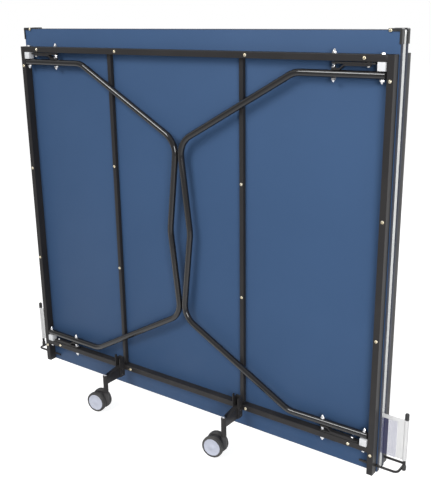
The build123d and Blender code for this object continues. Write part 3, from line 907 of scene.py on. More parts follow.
@dataclass
class Tops:
    """The two flat tops, playing faces inwards."""

    bench: Bench
    rounding: float = 0.0012
    rounding_steps: int = 2
    flatness: float = 0.99

    def skin(self, way: float) -> Skin:
        """Finish of a face whose normal has that y in the near half."""
        if abs(way) <= self.flatness:
            return Skin.EDGE
        return Skin.PLAYING if way > 0 else Skin.UNDERSIDE

    def build(self, half: Half) -> None:
        """Builds and dresses one top.

        Args:
            half: which half it belongs to.
        """
        bm = bmesh.new()
        bmesh.ops.create_cube(bm, size=1.0)
        size = (SIZES.width, SIZES.play_y - SIZES.under_y, SIZES.end_z - SIZES.edge_z, 1.0)
        middle = (0.0, (SIZES.play_y + SIZES.under_y) / 2, (SIZES.end_z + SIZES.edge_z) / 2)
        place = Matrix.Translation(middle) @ Matrix.Diagonal(size)
        bmesh.ops.transform(bm, matrix=place, verts=bm.verts)
        bmesh.ops.bevel(bm, geom=list(bm.edges), offset=self.rounding, segments=self.rounding_steps,
                        profile=0.5, affect="EDGES")
        for face in bm.faces:
            face.material_index = list(Skin).index(self.skin(face.normal.y))
        bmesh.ops.transform(bm, matrix=half.turn, verts=bm.verts)
        name = f"{half.value}_top_board"
        finishes = [skin.value for skin in Skin]
        self.bench.piece(name, Shapes.taken(name, bm), finishes, half.body, [f"{half.value}_tabletop"])


@dataclass
class SteelFrame:
    """Tubes, brackets, arms and spacers under a top, with softened edges."""

    bench: Bench
    tube_corner: float = 0.0018
    tube_edge: float = 0.2
    plate_corner: float = 0.0008
    bracket_edge: float = 0.009
    arm_edge: float = 0.012
    spacer_corner: float = 0.0012
    spacer_edge: float = 0.01

    def build(self, half: Half) -> None:
        """Rounds the edges of one half's tubes and small pressings.

        Args:
            half: which half they belong to.
        """
        plan = (
            ("side_tubes", self.tube_corner, self.tube_edge, "satin_black"),
            ("rails", self.tube_corner, self.tube_edge, "satin_black"),
            ("mid_tubes", self.tube_corner, self.tube_edge, "satin_black"),
            ("caster_brackets", self.plate_corner, self.bracket_edge, "satin_black"),
            ("caster_arms", self.plate_corner, self.arm_edge, "satin_black"),
            ("pivot_spacers", self.spacer_corner, self.spacer_edge, "white_moulding"),
        )
        for name, radius, least, finish in plan:
            node = f"{half.value}_{name}"
            mesh = Shapes.softened(node, radius, least)
            self.bench.piece(f"{node}_dressed", mesh, [finish], half.body, [node])


@dataclass
class CornerCaps:
    """Caps on the corners of the end edge, with finer walls than their solids and no lip on the playing face.

    Across, deep and height list where the solids' faces are in the near half, and where they move to.
    """

    bench: Bench
    corner: float = 0.0012
    least: float = 0.004
    across: Profile = ((0.7245, 0.7245), (0.7555, 0.7580), (0.7625, 0.7625), (0.7665, 0.7645))
    deep: Profile = ((-0.0275, -0.0275), (-0.0255, -0.0255), (-0.0095, -0.0100), (-0.0075, -0.0097))
    height: Profile = ((1.394, 1.394), (1.425, 1.4275), (1.432, 1.432), (1.436, 1.436))

    def build(self, half: Half) -> None:
        """Builds one half's two caps.

        Args:
            half: which half they belong to.
        """
        node = f"{half.value}_corner_caps"
        mesh = Shapes.softened(node, self.corner, self.least)
        mesh.transform(half.turn)
        for vertex in mesh.vertices:
            x, y, z = vertex.co
            vertex.co = (math.copysign(np.interp(abs(x), *zip(*self.across)), x),
                         np.interp(y, *zip(*self.deep)), np.interp(z, *zip(*self.height)))
        mesh.transform(half.turn)
        self.bench.piece(f"{node}_dressed", mesh, ["black_moulding"], half.body, [node])


@dataclass
class Fasteners:
    """Acorn nuts, plain nuts, domed screws and the rivets of the stays."""

    bench: Bench
    scatter: Scatter
    across: float = 0.013
    hex_bevel: float = 0.0006
    hex_crown: float = 1.6
    sunk: float = 0.001
    nut_height: float = 0.0045
    nut_bolt: Profile = ((0.004, 0.0008), (0.0034, 0.0014))
    acorn_hex: float = 0.006
    acorn_height: float = 0.0145
    acorn_collar: float = 0.0062
    acorn_rim: float = 0.0006
    acorn_dome: float = 0.0060
    acorn_tip: float = 0.0004
    acorn_curve: float = 0.72
    acorn_steps: int = 7
    head_sunk: float = 0.0004
    head_rim: float = 0.0005
    head_steps: int = 9
    screw_radius: float = 0.0055
    screw_height: float = 0.0036
    recess_low: float = 0.001
    recess_half: float = 0.0009
    recess_reach: float = 0.0034
    recess_depth: float = 0.0013
    rail_screws: tuple[float, ...] = (-0.670, -0.272, 0.272, 0.670)
    side_screws: tuple[float, ...] = (0.133, 0.527, 0.900, 1.297)
    mid_screws: tuple[float, ...] = (0.557, 0.949)
    cap_screw: tuple[float, float] = (0.7305, 1.4305)
    cap_skin: float = 0.002
    cross_bolts: tuple[float, float] = (0.128, 0.149)
    cross_bolt_y: float = -0.069
    cheek_x: float = 0.0123
    stem_nut_z: float = 0.150
    small: float = 0.9
    leg_gap: float = 0.0003
    rail_stack: float = 0.0078
    leg_stack: float = 0.0056
    knee: Point = (0.681, -0.048, 1.3353)
    rivet_radius: float = 0.0059
    rivet_height: float = 0.0052

    def prism(self, height: float, crown: Profile) -> Mesh:
        """Chamfered six-sided nut with a turned crown.

        Args:
            height: height of the hexagon.
            crown: radius and height of the rings above it, the last at radius 0.

        Returns:
            The nut, standing on z = 0.
        """
        corner = self.across / 2 / math.cos(math.pi / 6)
        bevel = self.hex_bevel
        sides = ((0, 0), (corner - bevel, 0), (corner, bevel), (corner, height - bevel),
                 (corner - self.hex_crown * bevel, height), (0, height))
        return Shapes.joined("nut", (Shapes.lathe("hexagon", sides, 6), Shapes.lathe("crown", crown, 24)))

    def acorn(self) -> Mesh:
        """Acorn nut: hexagon, collar and pointed dome."""
        low, collar = self.acorn_hex, self.acorn_collar
        rim = low + self.acorn_rim
        dome = [(0, low - self.sunk), (collar, low - self.sunk), (collar, rim)]
        for step in range(1, self.acorn_steps):
            part = step / self.acorn_steps
            radius = self.acorn_dome * (1 - part) ** self.acorn_curve + self.acorn_tip
            dome.append((radius, rim + (self.acorn_height - rim) * part))
        return self.prism(low, (*dome, (0, self.acorn_height)))

    def nut(self) -> Mesh:
        """Plain nut with the end of its bolt standing a little proud."""
        low = self.nut_height - self.sunk
        bolt = Shapes.raised(self.nut_bolt, self.nut_height)
        return self.prism(self.nut_height, ((0, low), (bolt[0][0], low), *bolt, (0, bolt[-1][1])))

    def dome(self, name: str, radius: float, height: float) -> Mesh:
        """Plain domed head.

        Args:
            name: name of the mesh.
            radius: radius of its rim.
            height: height of its crown.

        Returns:
            The head, standing on z = 0.
        """
        rim = self.head_rim
        rings = [(0, -self.head_sunk), (radius, -self.head_sunk), (radius, rim)]
        rings += Shapes.arch(radius, rim, height - rim, self.head_steps)
        return Shapes.lathe(name, (*rings, (0, height)), 32)

    def screw(self) -> Mesh:
        """Domed screw head with a cross recess."""
        head = self.dome("screw_head", self.screw_radius, self.screw_height)
        for vertex in head.vertices:
            in_cross = min(abs(vertex.co.x), abs(vertex.co.y)) < self.recess_half
            if in_cross and vertex.co.z > self.recess_low and vertex.co.xy.length < self.recess_reach:
                vertex.co.z -= self.recess_depth
        return head

    def screw_seats(self, mids: Sequence[float]) -> Seats:
        """Places and directions of the screws of one half, with its middle tubes at those places."""
        rails = (SIZES.net_rail_z, SIZES.end_rail_z)
        places = [(x, SIZES.frame_y, z) for x in self.rail_screws for z in rails]
        places += [(side.value * SIZES.side_x, SIZES.frame_y, z) for side in Side for z in self.side_screws]
        places += [(x, SIZES.mid_tube_y, z) for x in mids for z in self.mid_screws]
        cap_x, cap_z = self.cap_screw
        places += [(side.value * cap_x, SIZES.under_y - self.cap_skin, cap_z) for side in Side]
        return [(place, Seat.OUT.value) for place in places]

    @staticmethod
    def both_ends(x: float, y: float, z: float, seat: Seat) -> Seats:
        """A seat at the end rail and its mirror image at the net rail.

        Args:
            x: place along the net.
            y: place across the net.
            z: height of the seat at the end rail.
            seat: UP or DOWN.

        Returns:
            The two seats.
        """
        other = Seat.DOWN if seat is Seat.UP else Seat.UP
        return [((x, y, z), seat.value), ((x, y, SIZES.flipped(z)), other.value)]

    def build(self, half: Half) -> None:
        """Sets out the fasteners that one half's top and frame carry.

        Args:
            half: which half they belong to.
        """
        rail_top = SIZES.end_rail_z + SIZES.rail_half
        under_rail = SIZES.end_rail_z - SIZES.rail_half - self.rail_stack
        under_leg = SIZES.leg_z - SIZES.leg_radius - self.leg_gap
        acorns, nuts = [], []
        for side in Side:
            pivot, stay = side.value * SIZES.pivot_x, side.value * SIZES.stay_x
            acorns += self.both_ends(pivot, SIZES.pivot_y, under_leg, Seat.DOWN)
            acorns += self.both_ends(stay, SIZES.pivot_y, rail_top, Seat.UP)
            nuts += self.both_ends(pivot, SIZES.pivot_y, rail_top, Seat.UP)
            nuts += self.both_ends(stay, SIZES.pivot_y, under_rail, Seat.DOWN)
        bolts = []
        for x in half.mids:
            for z in self.cross_bolts:
                bolts.append(((x + self.cheek_x, self.cross_bolt_y, z), Seat.RIGHT.value))
                bolts.append(((x - self.cheek_x, self.cross_bolt_y, z), Seat.LEFT.value))
        stems = [((x, SIZES.caster_y, self.stem_nut_z), Seat.UP.value) for x in half.mids]
        sets = (
            ("acorn_nuts", self.acorn(), acorns, "bright_plate", 1.0, "pivot_bolts"),
            ("plain_nuts", self.nut(), nuts, "bright_plate", 1.0, "rail_stay_bolts"),
            ("screw_heads", self.screw(), self.screw_seats(half.mids), "yellow_zinc", 1.0, "panel_screws"),
            ("cross_bolt_heads", self.screw(), bolts, "satin_black", self.small, "bracket_bolts"),
            ("stem_nuts", self.nut(), stems, "bright_plate", self.small, "caster_stems"),
        )
        for label, shape, seats, finish, size, node in sets:
            name = f"{half.value}_{label}"
            mesh = self.scatter.spread(name, shape, seats, self.bench.palette[finish], size)
            mesh.transform(half.turn)
            self.bench.piece(name, mesh, [finish], half.body, [f"{half.value}_{node}"])

    def build_on_leg(self, half: Half, side: Side) -> None:
        """Sets out the nuts that hold the leg's own stay links, and the rivets of their knees.

        Args:
            half: which half the leg belongs to.
            side: which leg.
        """
        name = f"{half.value}_{side.word}"
        plate = self.bench.palette["bright_plate"]
        x, reach = side.value * SIZES.stay_x, SIZES.leg_radius
        acorns = self.both_ends(x, SIZES.pivot_y, SIZES.leg_z - reach - self.leg_gap, Seat.DOWN)
        nuts = self.both_ends(x, SIZES.pivot_y, SIZES.leg_z + reach + self.leg_stack, Seat.UP)
        parts = [self.scatter.spread("leg_acorns", self.acorn(), acorns, plate),
                 self.scatter.spread("leg_nuts", self.nut(), nuts, plate)]
        mesh = Shapes.joined(f"{name}_leg_nuts", parts)
        mesh.transform(half.turn @ Legs.tilt(side))
        bolts = [f"{name}_leg_stay_bolts"]
        self.bench.piece(f"{name}_leg_nuts", mesh, ["bright_plate"], f"{name}_leg", bolts)
        knee_x, knee_y, knee_z = self.knee
        knees = self.both_ends(side.value * knee_x, knee_y, knee_z, Seat.DOWN)
        rivet = self.dome("rivet_head", self.rivet_radius, self.rivet_height)
        mesh = self.scatter.spread(f"{name}_knee_rivets", rivet, knees, plate)
        mesh.transform(half.turn)
        self.bench.piece(f"{name}_knee_rivets", mesh, ["bright_plate"], f"{name}_leg_links")


@dataclass
class Legs:
    """Bent tube legs with their end plugs, and the folding stays.

    The plug's profile has shares of the tube's radius, and heights from the tube's end.
    """

    bench: Bench
    tube: BentTube
    end_x: float = 0.732
    shoulder_x: float = 0.445
    shoulder_bend: float = 0.085
    foot_x: float = 0.0071716
    foot_z: float = 1.067
    foot_bend: float = 0.076
    bow: float = 0.0365
    bow_bend: float = 0.150
    bend_steps: int = 20
    plug: Profile = ((0, -0.004), (0.86, -0.004), (0.86, 0.0002), (0.99, 0.0003), (0.99, 0.0011),
                     (0.8, 0.0018), (0, 0.002))
    link_corner: float = 0.0006
    link_edge: float = 0.02

    @staticmethod
    def tilt(side: Side) -> Matrix:
        """Small outward turn of a folded leg about its pivot line."""
        pivot = Vector((side.value * SIZES.pivot_x, SIZES.pivot_y, 0.0))
        turn = Matrix.Rotation(side.value * SIZES.leg_tilt, 4, "Z")
        return Matrix.Translation(pivot) @ turn @ Matrix.Translation(-pivot)

    def path(self, side: Side) -> tuple[list[Point], list[float]]:
        """Corners of a leg's centre line and the bend at each.

        Args:
            side: which leg.

        Returns:
            The corners from the end rail to the net rail, and their bend radii.
        """
        upper = [(self.end_x, SIZES.leg_z), (self.shoulder_x, SIZES.leg_z), (self.foot_x, self.foot_z)]
        lower = [(x, SIZES.flipped(z)) for x, z in reversed(upper)]
        line = upper + [(self.foot_x + self.bow, SIZES.rail_mid_z)] + lower
        upper_bends = [0.0, self.shoulder_bend, self.foot_bend]
        bends = upper_bends + [self.bow_bend] + upper_bends[::-1]
        return [(side.value * x, SIZES.pivot_y, z) for x, z in line], bends

    def plugs(self, side: Side) -> Mesh:
        """Plastic plugs in the two open ends of a leg.

        Args:
            side: which leg.

        Returns:
            Both plugs as one mesh, in place on the untilted leg.
        """
        plug = Shapes.lathe("plug", [(SIZES.leg_radius * share, height) for share, height in self.plug], 32)
        turn = Matrix.Rotation(side.value * math.pi / 2, 4, "Y")
        places = [Matrix.Translation((side.value * self.end_x, SIZES.pivot_y, z)) @ turn
                  for z in (SIZES.leg_z, SIZES.flipped(SIZES.leg_z))]
        return Shapes.joined("plugs", [Shapes.placed(plug, place) for place in places])

    def build(self, half: Half, side: Side) -> None:
        """Builds one leg and its stays.

        Args:
            half: which half the leg belongs to.
            side: which leg.
        """
        name = f"{half.value}_{side.word}"
        corners, bends = self.path(side)
        black = self.bench.palette["gloss_black"]
        leg = self.tube.bent(f"{name}_leg_tube", corners, bends, SIZES.leg_radius, self.bend_steps, black)
        place = half.turn @ self.tilt(side)
        leg.transform(place)
        self.bench.piece(f"{name}_leg_tube", leg, ["gloss_black"], f"{name}_leg", [f"{name}_leg"])
        plugs = self.plugs(side)
        plugs.transform(place)
        self.bench.piece(f"{name}_leg_plugs", plugs, ["black_moulding"], f"{name}_leg")
        for links in ("rail_links", "leg_links"):
            node = f"{name}_{links}"
            mesh = Shapes.softened(node, self.link_corner, self.link_edge)
            self.bench.piece(f"{node}_dressed", mesh, ["satin_black"], node, [node])


@dataclass
class Casters:
    """Twin-wheel casters: fork, wheels and hub discs.

    An edge's profile says how far each ring lies in from the full radius and from the end that it goes round.
    """

    bench: Bench
    wheel_radius: float = 0.0395
    inner: float = 0.0105
    outer: float = 0.0275
    tread_edge: Profile = ((0.0030, 0.0), (0.0012, 0.0007), (0.0003, 0.0024))
    groove: Profile = ((0.0, -0.0007), (0.0007, -0.0003), (0.0007, 0.0003), (0.0, 0.0007))
    groove_place: float = 0.0022
    hollow: Profile = ((0, 0.004), (0.012, 0.004), (0.013, 0.0), (0.016, 0.0), (0.018, 0.005), (0.029, 0.005),
                       (0.031, 0.0))
    fork_half: float = 0.010
    fork_radius: float = 0.031
    fork_edge: Profile = ((0.002, 0.0), (0.0006, 0.0006), (0.0, 0.002))
    disc_radius: float = 0.0315
    disc_play: float = 0.0003
    disc_proud: float = 0.0010
    disc_edge: Profile = ((0.0, 0.0010), (0.0006, 0.0002), (0.0018, 0.0), (0.0034, 0.0003), (0.0046, 0.0010))
    dish: Profile = ((0.5, -0.0004), (0.28, -0.0002), (0.26, 0.0002), (0, 0.0002))
    recess: float = 0.002
    recess_flare: float = 0.0002
    boss_low: float = 0.030
    boss_top: float = 0.0785
    boss_foot: Profile = ((0.0012, 0.0), (0.0, 0.0012))
    boss_head: Profile = ((0.0, 0.0035), (0.001, 0.003), (0.001, 0.001), (0.002, 0.0))

    def place(self, half: Half, x: float) -> Matrix:
        """Place of a caster's own frame, with its stem at the origin, trailing along -X."""
        spot = Matrix.Translation((x, SIZES.caster_y, 0.0))
        return half.turn @ spot @ Matrix.Rotation(half.heading, 4, "Z")

    def on_axle(self, mesh: Mesh, way: int = 1) -> Mesh:
        """Mesh turned about Z, laid on the axle so that it points to the front (way 1) or the back."""
        turn = Matrix.Rotation(way * math.pi / 2, 4, "X")
        return Shapes.placed(mesh, Matrix.Translation((-SIZES.trail, 0.0, SIZES.axle_z)) @ turn)

    def pair(self, mesh: Mesh) -> Mesh:
        """Two of a wheel's pieces, one each side of the fork."""
        return Shapes.joined("pair", (self.on_axle(mesh, 1), self.on_axle(mesh, -1)))

    def wheel(self) -> Mesh:
        """One wheel: crowned tread with two fine grooves, and a recessed outer face."""
        low, high, radius = self.inner, self.outer, self.wheel_radius
        middle, deep = (low + high) / 2, high - self.recess
        tread = Shapes.rim(radius, low, self.tread_edge)
        for place in (middle - self.groove_place, middle + self.groove_place):
            tread += Shapes.rim(radius, place, self.groove)
        tread += reversed(Shapes.rim(radius, high, self.tread_edge, -1))
        face = [(self.disc_radius + self.recess_flare, high), (self.disc_radius, deep), (0, deep)]
        return Shapes.lathe("wheel", (*Shapes.raised(self.hollow, low), *tread, *face), 64)

    def disc(self) -> Mesh:
        """Hub disc: a rolled rim, a shallow dish and a low middle boss."""
        base, top = self.outer - self.recess, self.outer + self.disc_proud
        edge = self.disc_radius - self.disc_play
        rim = Shapes.rim(edge, top, self.disc_edge, -1)
        dish = [(edge * share, top + rise) for share, rise in self.dish]
        return Shapes.lathe("disc", ((0, base), (edge, base), *rim, *dish), 64)

    def fork(self) -> Mesh:
        """Fork body: a web between the wheels and the boss on the stem."""
        half, low, top = self.fork_half, self.boss_low, self.boss_top
        sides = Shapes.rim(self.fork_radius, -half, self.fork_edge)
        sides += reversed(Shapes.rim(self.fork_radius, half, self.fork_edge, -1))
        web = Shapes.lathe("web", ((0, -half), *sides, (0, half)), 64)
        sides = Shapes.rim(half, low, self.boss_foot) + Shapes.rim(half, top, self.boss_head, -1)
        boss = Shapes.lathe("boss", ((0, low), *sides, (0, top)), 40)
        return Shapes.joined("fork", (self.on_axle(web), boss))

    def build(self, half: Half, side: Side) -> None:
        """Builds one caster.

        Args:
            half: which half it belongs to.
            side: which of that half's casters.
        """
        name = f"{half.value}_{side.word}"
        place = self.place(half, half.mids[0 if side is Side.LEFT else 1])
        parts = (
            ("fork_body", self.fork(), "caster_grey", f"{name}_caster_fork", "caster_fork"),
            ("wheel_pair", self.pair(self.wheel()), "tread_grey", f"{name}_caster_wheels", "caster_wheels"),
            ("disc_pair", self.pair(self.disc()), "pale_disc", f"{name}_caster_wheels", "hub_discs"),
        )
        for label, mesh, finish, body, node in parts:
            mesh.transform(place)
            self.bench.piece(f"{name}_{label}", mesh, [finish], body, [f"{name}_{node}"])


@dataclass
class NetSet:
    """Hinge bows, net posts, and the net with its white binding."""

    bench: Bench
    tube: BentTube
    web: NetWeb
    scatter: Scatter
    body: str = "net_set"
    rod_radius: float = 0.004
    pin_x: float = 0.7025
    bow_x: float = 0.832
    bow_bend: float = 0.014
    bow_steps: int = 12
    post_radius: float = 0.005
    post_low: float = 0.0945
    post_top: float = 0.284
    knob_below: float = 0.004
    knob_above: float = 0.016
    knob_foot: Profile = ((0, 0.0), (0.0045, 0.0), (0.0060, 0.0012), (0.0068, 0.0028))
    ridge: Profile = ((0.0070, 0.0), (0.0070, 0.0016), (0.0066, 0.0021))
    ridge_low: float = 0.0034
    ridge_pitch: float = 0.0026
    ridges: int = 5
    knob_head: Profile = ((0.0066, -0.0030), (0.0056, -0.0008), (0.0052, 0.0), (0, 0.0))
    cap_below: float = 0.0195
    cap_above: float = 0.004
    cap_rim: Profile = ((0, 0.0), (0.0064, 0.0), (0.0070, 0.0008), (0.0070, 0.004), (0.0067, 0.005))
    cap_radius: float = 0.0067
    cap_dome: float = 0.005
    cap_steps: int = 6
    cell: float = 0.0032
    cord_radius: float = 0.00043
    slack: float = 0.0004
    seed: int = 7
    run: int = 3
    tape_half: float = 0.0011
    tape_overlap: float = 0.002
    tape_step: float = 0.02
    sleeve_bore: float = 0.0052
    sleeve_radius: float = 0.0063
    stitch: float = 0.006
    thread: Profile = ((0, -0.0017), (0.0003, -0.0014), (0.0003, 0.0014), (0, 0.0017))
    seam_low: float = 0.0022
    seam_high: float = 0.0028

    def bows(self) -> None:
        """Builds the two bent rods."""
        black = self.bench.palette["satin_black"]
        y = SIZES.hinge_y
        outline = ((self.pin_x, y), (self.bow_x, y), (self.bow_x, -y), (self.pin_x, -y))
        bends = [0.0, self.bow_bend, self.bow_bend, 0.0]
        meshes = []
        for side in Side:
            corners = [(side.value * x, y, SIZES.hinge_z) for x, y in outline]
            meshes.append(self.tube.bent("bow", corners, bends, self.rod_radius, self.bow_steps, black))
        rods = Shapes.joined("bow_rods", meshes)
        self.bench.piece("bow_rods", rods, ["satin_black"], self.body, ["hinge_bows"])

    @staticmethod
    def at_posts(mesh: Mesh) -> list[Mesh]:
        """A mesh on the axis of each post."""
        places = [Matrix.Translation((side.value * SIZES.post_x, 0.0, 0.0)) for side in Side]
        return [Shapes.placed(mesh, place) for place in places]

    def knob(self) -> Mesh:
        """Knob at a post's foot: a row of ridges between a rounded foot and a tapered head."""
        low, top = SIZES.hinge_z - self.knob_below, SIZES.hinge_z + self.knob_above
        rings = Shapes.raised(self.knob_foot, low)
        for step in range(self.ridges):
            rings += Shapes.raised(self.ridge, low + self.ridge_low + step * self.ridge_pitch)
        return Shapes.lathe("knob", rings + Shapes.raised(self.knob_head, top), 40)

    def cap(self) -> Mesh:
        """Domed cap on a post's top."""
        top = self.post_top + self.cap_above
        rim = top - self.cap_dome
        rings = Shapes.raised(self.cap_rim, self.post_top - self.cap_below) + [(self.cap_radius, rim)]
        rings += Shapes.arch(self.cap_radius, rim, self.cap_dome, self.cap_steps)
        return Shapes.lathe("cap", rings + [(0, top)], 40)

    def posts(self) -> None:
        """Builds the posts with their knobs and caps."""
        rod, low, top = self.post_radius, self.post_low, self.post_top
        post = Shapes.lathe("post", ((0, low), (rod, low), (rod, top), (0, top)), 32)
        plan = (
            ("post_rods", post, "satin_black", "net_posts"),
            ("post_feet", self.knob(), "black_moulding", "post_knobs"),
            ("post_tops", self.cap(), "black_moulding", "post_caps"),
        )
        for name, mesh, finish, node in plan:
            self.bench.piece(name, Shapes.joined(name, self.at_posts(mesh)), [finish], self.body, [node])

    def mesh_lines(self) -> Mesh:
        """Centre lines of the net's cords, upright and level, as loose chains of edges."""
        left, width = -SIZES.mesh_end, 2 * SIZES.mesh_end
        low, deep = SIZES.net_low, SIZES.mesh_top - SIZES.net_low
        run = self.run
        columns, rows = run * round(width / self.cell / run), run * round(deep / self.cell / run)
        verts: list[Point] = []
        edges: list[tuple[int, int]] = []
        chains = []
        for row in range(rows + 1):
            z = low + deep * row / rows
            chains.append([(left + width * i / columns, 0.0, z) for i in range(0, columns + 1, run)])
        for column in range(columns + 1):
            x = left + width * column / columns
            chains.append([(x, 0.0, low + deep * i / rows) for i in range(0, rows + 1, run)])
        for chain in chains:
            first = len(verts)
            verts += chain
            edges += [(first + i, first + i + 1) for i in range(len(chain) - 1)]
        lines = bpy.data.meshes.new("net_lines")
        lines.from_pydata(verts, edges, [])
        return lines

    def net(self) -> bpy.types.Object:
        """Builds the net itself."""
        values = {"Cord radius": self.cord_radius, "Slack": self.slack, "Seed": self.seed,
                  "Material": self.bench.palette["net_cord"]}
        mesh = self.web.run("net_cords", self.mesh_lines(), values)
        return self.bench.piece("net_cords", mesh, ["net_cord"], self.body, ["net_mesh"])

    def binding(self) -> bpy.types.Object:
        """Builds the white tape, the end bands and the sleeves round the posts."""
        bm = bmesh.new()
        self.strip(bm, (-SIZES.post_x, SIZES.post_x), (SIZES.mesh_top, SIZES.net_top))
        for side in Side:
            ends = sorted((side.value * SIZES.mesh_end, side.value * SIZES.post_x))
            self.strip(bm, (ends[0], ends[1]), (SIZES.net_low, SIZES.mesh_top + self.tape_overlap))
        tape = Shapes.taken("tape", bm)
        bore, skin, low, top = self.sleeve_bore, self.sleeve_radius, SIZES.net_low, SIZES.net_top
        sleeve = Shapes.lathe("sleeve", ((bore, low), (skin, low), (skin, top), (bore, top), (bore, low)), 32)
        mesh = Shapes.joined("net_tape", [tape, *self.at_posts(sleeve)])
        return self.bench.piece("net_tape", mesh, ["white_tape"], self.body, ["net_binding"])

    def strip(self, bm: bmesh.types.BMesh, along: Span, upright: Span) -> None:
        """Adds one folded tape: a flat loop that is a little fuller between its edges.

        Args:
            bm: mesh it goes into.
            along: its left and right ends.
            upright: its lower and upper edges.
        """
        (x0, x1), (z0, z1), half = along, upright, self.tape_half
        steps = max(2, round((x1 - x0) / self.tape_step))
        section = [(0.0, z0), (-half, z0 + half), (-half, z1 - half),
                   (0.0, z1), (half, z1 - half), (half, z0 + half)]
        rings = []
        for step in range(steps + 1):
            x = x0 + (x1 - x0) * step / steps
            rings.append([bm.verts.new((x, y, z)) for y, z in section])
        for one, two in zip(rings, rings[1:]):
            for i in range(len(section)):
                j = (i + 1) % len(section)
                bm.faces.new((one[i], one[j], two[j], two[i]))
        bm.faces.new(rings[0])
        bm.faces.new(list(reversed(rings[-1])))
        bmesh.ops.recalc_face_normals(bm, faces=bm.faces)

    def stitches(self) -> bpy.types.Object:
        """Sews a row of stitches along each edge of the tape, on both faces."""
        thread = Shapes.lathe("thread", self.thread, 5)
        seats = []
        for number in range(int(2 * SIZES.mesh_end / self.stitch)):
            x = -SIZES.mesh_end + (number + 0.5) * self.stitch
            for z in (SIZES.mesh_top + self.seam_low, SIZES.net_top - self.seam_high):
                for y in (-self.tape_half, self.tape_half):
                    seats.append(((x, y, z), Seat.RIGHT.value))
        mesh = self.scatter.spread("tape_stitches", thread, seats, self.bench.palette["white_tape"])
        return self.bench.piece("tape_stitches", mesh, ["white_tape"], self.body)

    def build(self) -> None:
        self.bows()
        self.posts()
        net, tape, sewing = self.net(), self.binding(), self.stitches()


@dataclass(frozen=True)
class Lamp:
    """One soft square lamp: its place and what it points at, its side in metres and its power in watts."""

    name: str
    place: Point
    target: Point
    size: float
    power: float

    def hang(self) -> None:
        """Hangs the lamp."""
        data = bpy.data.lights.new(self.name, "AREA")
        data.size = self.size
        data.energy = self.power
        aim = (Vector(self.target) - Vector(self.place)).to_track_quat("-Z", "Y")
        stand(self.name, data).matrix_world = Matrix.Translation(self.place) @ aim.to_matrix().to_4x4()


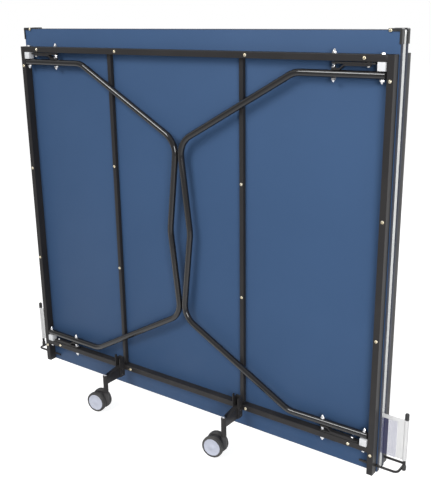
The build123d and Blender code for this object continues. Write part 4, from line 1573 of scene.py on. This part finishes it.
@dataclass
class Studio:
    """Pale floor, soft light, and the camera at the photograph's angle.

    Floor and world mirror dimmer towards the camera: an edge says where that starts and ends along Y, and a
    dim how bright they mirror there.
    """

    eye: Point = (1.6213, -2.0455, 1.4870)
    yaw: float = math.radians(36.4616)
    pitch: float = math.radians(17.359)
    roll: float = math.radians(0.8242)
    focal_pixels: float = 764.7
    picture_height: float = 500.0
    sensor: float = 36.0
    floor_size: float = 40.0
    floor_matt: float = 0.45
    floor_glow: float = 0.85
    floor_edge: Span = (-2.2, -0.4)
    floor_dim: Span = (0.15, 1.0)
    room_edge: Span = (-0.6, 0.1)
    room_dim: Span = (0.35, 1.0)
    ambient: float = 0.36
    lamps: tuple[Lamp, ...] = (
        Lamp("key", place=(-1.5, -4.6, 4.9), target=(0.0, 0.0, 0.8), size=2.5, power=205.0),
        Lamp("side", place=(3.3, -2.9, 1.7), target=(0.4, 0.0, 0.7), size=1.6, power=88.0),
        Lamp("back", place=(0.5, 3.8, 3.6), target=(0.0, 0.0, 0.8), size=2.5, power=90.0),
    )

    def camera(self) -> None:
        """Sets the camera."""
        data = bpy.data.cameras.new("camera")
        data.sensor_fit = "VERTICAL"
        data.sensor_height = self.sensor
        data.lens = self.focal_pixels * self.sensor / self.picture_height
        made = stand("camera", data)
        ahead = Vector((-math.sin(self.yaw) * math.cos(self.pitch), math.cos(self.yaw) * math.cos(self.pitch),
                        -math.sin(self.pitch)))
        level = Vector((math.cos(self.yaw), math.sin(self.yaw), 0.0))
        down = ahead.cross(level)
        right = level * math.cos(self.roll) + down * math.sin(self.roll)
        below = down * math.cos(self.roll) - level * math.sin(self.roll)
        turn = Matrix((right, -below, -ahead)).transposed().to_4x4()
        made.matrix_world = Matrix.Translation(self.eye) @ turn
        bpy.context.scene.camera = made

    @staticmethod
    def shown(forge: Forge, dim: Socket) -> Socket:
        """Adds a mask of what the camera sees straight, or mirrored and dimmer.

        Args:
            forge: forge of the floor's or the world's tree.
            dim: socket of how bright the mirrored part is.

        Returns:
            The mask's socket.
        """
        path = forge.node("ShaderNodeLightPath").outputs
        mirrored = forge.math("MAXIMUM", path["Is Glossy Ray"], path["Is Transmission Ray"])
        return forge.math("MAXIMUM", path["Is Camera Ray"], forge.math("MULTIPLY", mirrored, dim))

    def floor(self) -> None:
        """Lays the floor, which looks white and keeps the table's shadow."""
        mesh = bpy.data.meshes.new("floor")
        reach = self.floor_size / 2
        corners = [(-reach, -reach, 0), (reach, -reach, 0), (reach, reach, 0), (-reach, reach, 0)]
        mesh.from_pydata(corners, [], [(0, 1, 2, 3)])
        material = bpy.data.materials.new("pale_floor")
        forge = Forge.on(material)
        seen = self.shown(forge, forge.ramp(forge.parts(forge.place())["Y"], self.floor_edge, self.floor_dim))
        grey = (self.floor_matt, self.floor_matt, self.floor_matt, 1.0)
        matt = forge.node("ShaderNodeBsdfDiffuse", {"Color": grey})
        glow = forge.node("ShaderNodeEmission", {"Strength": forge.math("MULTIPLY", seen, self.floor_glow)})
        both = forge.node("ShaderNodeAddShader", {0: matt.outputs[0], 1: glow.outputs[0]})
        forge.node("ShaderNodeOutputMaterial", {"Surface": both.outputs[0]})
        mesh.materials.append(material)
        stand("floor", mesh)

    def world(self) -> None:
        """Sets a white surround that lights the table softly."""
        world = bpy.data.worlds.new("surround")
        forge = Forge.on(world)
        way = forge.parts(forge.node("ShaderNodeTexCoord").outputs["Generated"])
        seen = self.shown(forge, forge.ramp(way["Y"], self.room_edge, self.room_dim))
        strength = forge.math("MAXIMUM", self.ambient, seen)
        glow = forge.node("ShaderNodeBackground", {"Color": (1.0, 1.0, 1.0, 1.0), "Strength": strength})
        forge.node("ShaderNodeOutputWorld", {"Surface": glow.outputs[0]})
        bpy.context.scene.world = world

    def build(self) -> None:
        """Sets up the whole studio."""
        self.camera()
        self.floor()
        self.world()
        for lamp in self.lamps:
            lamp.hang()
        bpy.context.scene.view_settings.view_transform = "Standard"


def main() -> None:
    """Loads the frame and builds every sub-assembly."""
    logging.basicConfig(level=logging.INFO, format="%(name)s: %(message)s")
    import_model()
    Studio().build()
    bench = Bench(Palette())
    scatter, tube = Scatter(), BentTube()
    tops, frame, caps = Tops(bench), SteelFrame(bench), CornerCaps(bench)
    fasteners, legs, casters = Fasteners(bench, scatter), Legs(bench, tube), Casters(bench)
    for half in Half:
        tops.build(half)
        frame.build(half)
        caps.build(half)
        fasteners.build(half)
        for side in Side:
            legs.build(half, side)
            fasteners.build_on_leg(half, side)
            casters.build(half, side)
    NetSet(bench, tube, NetWeb(), scatter).build()


if __name__ == "__main__":
    main()
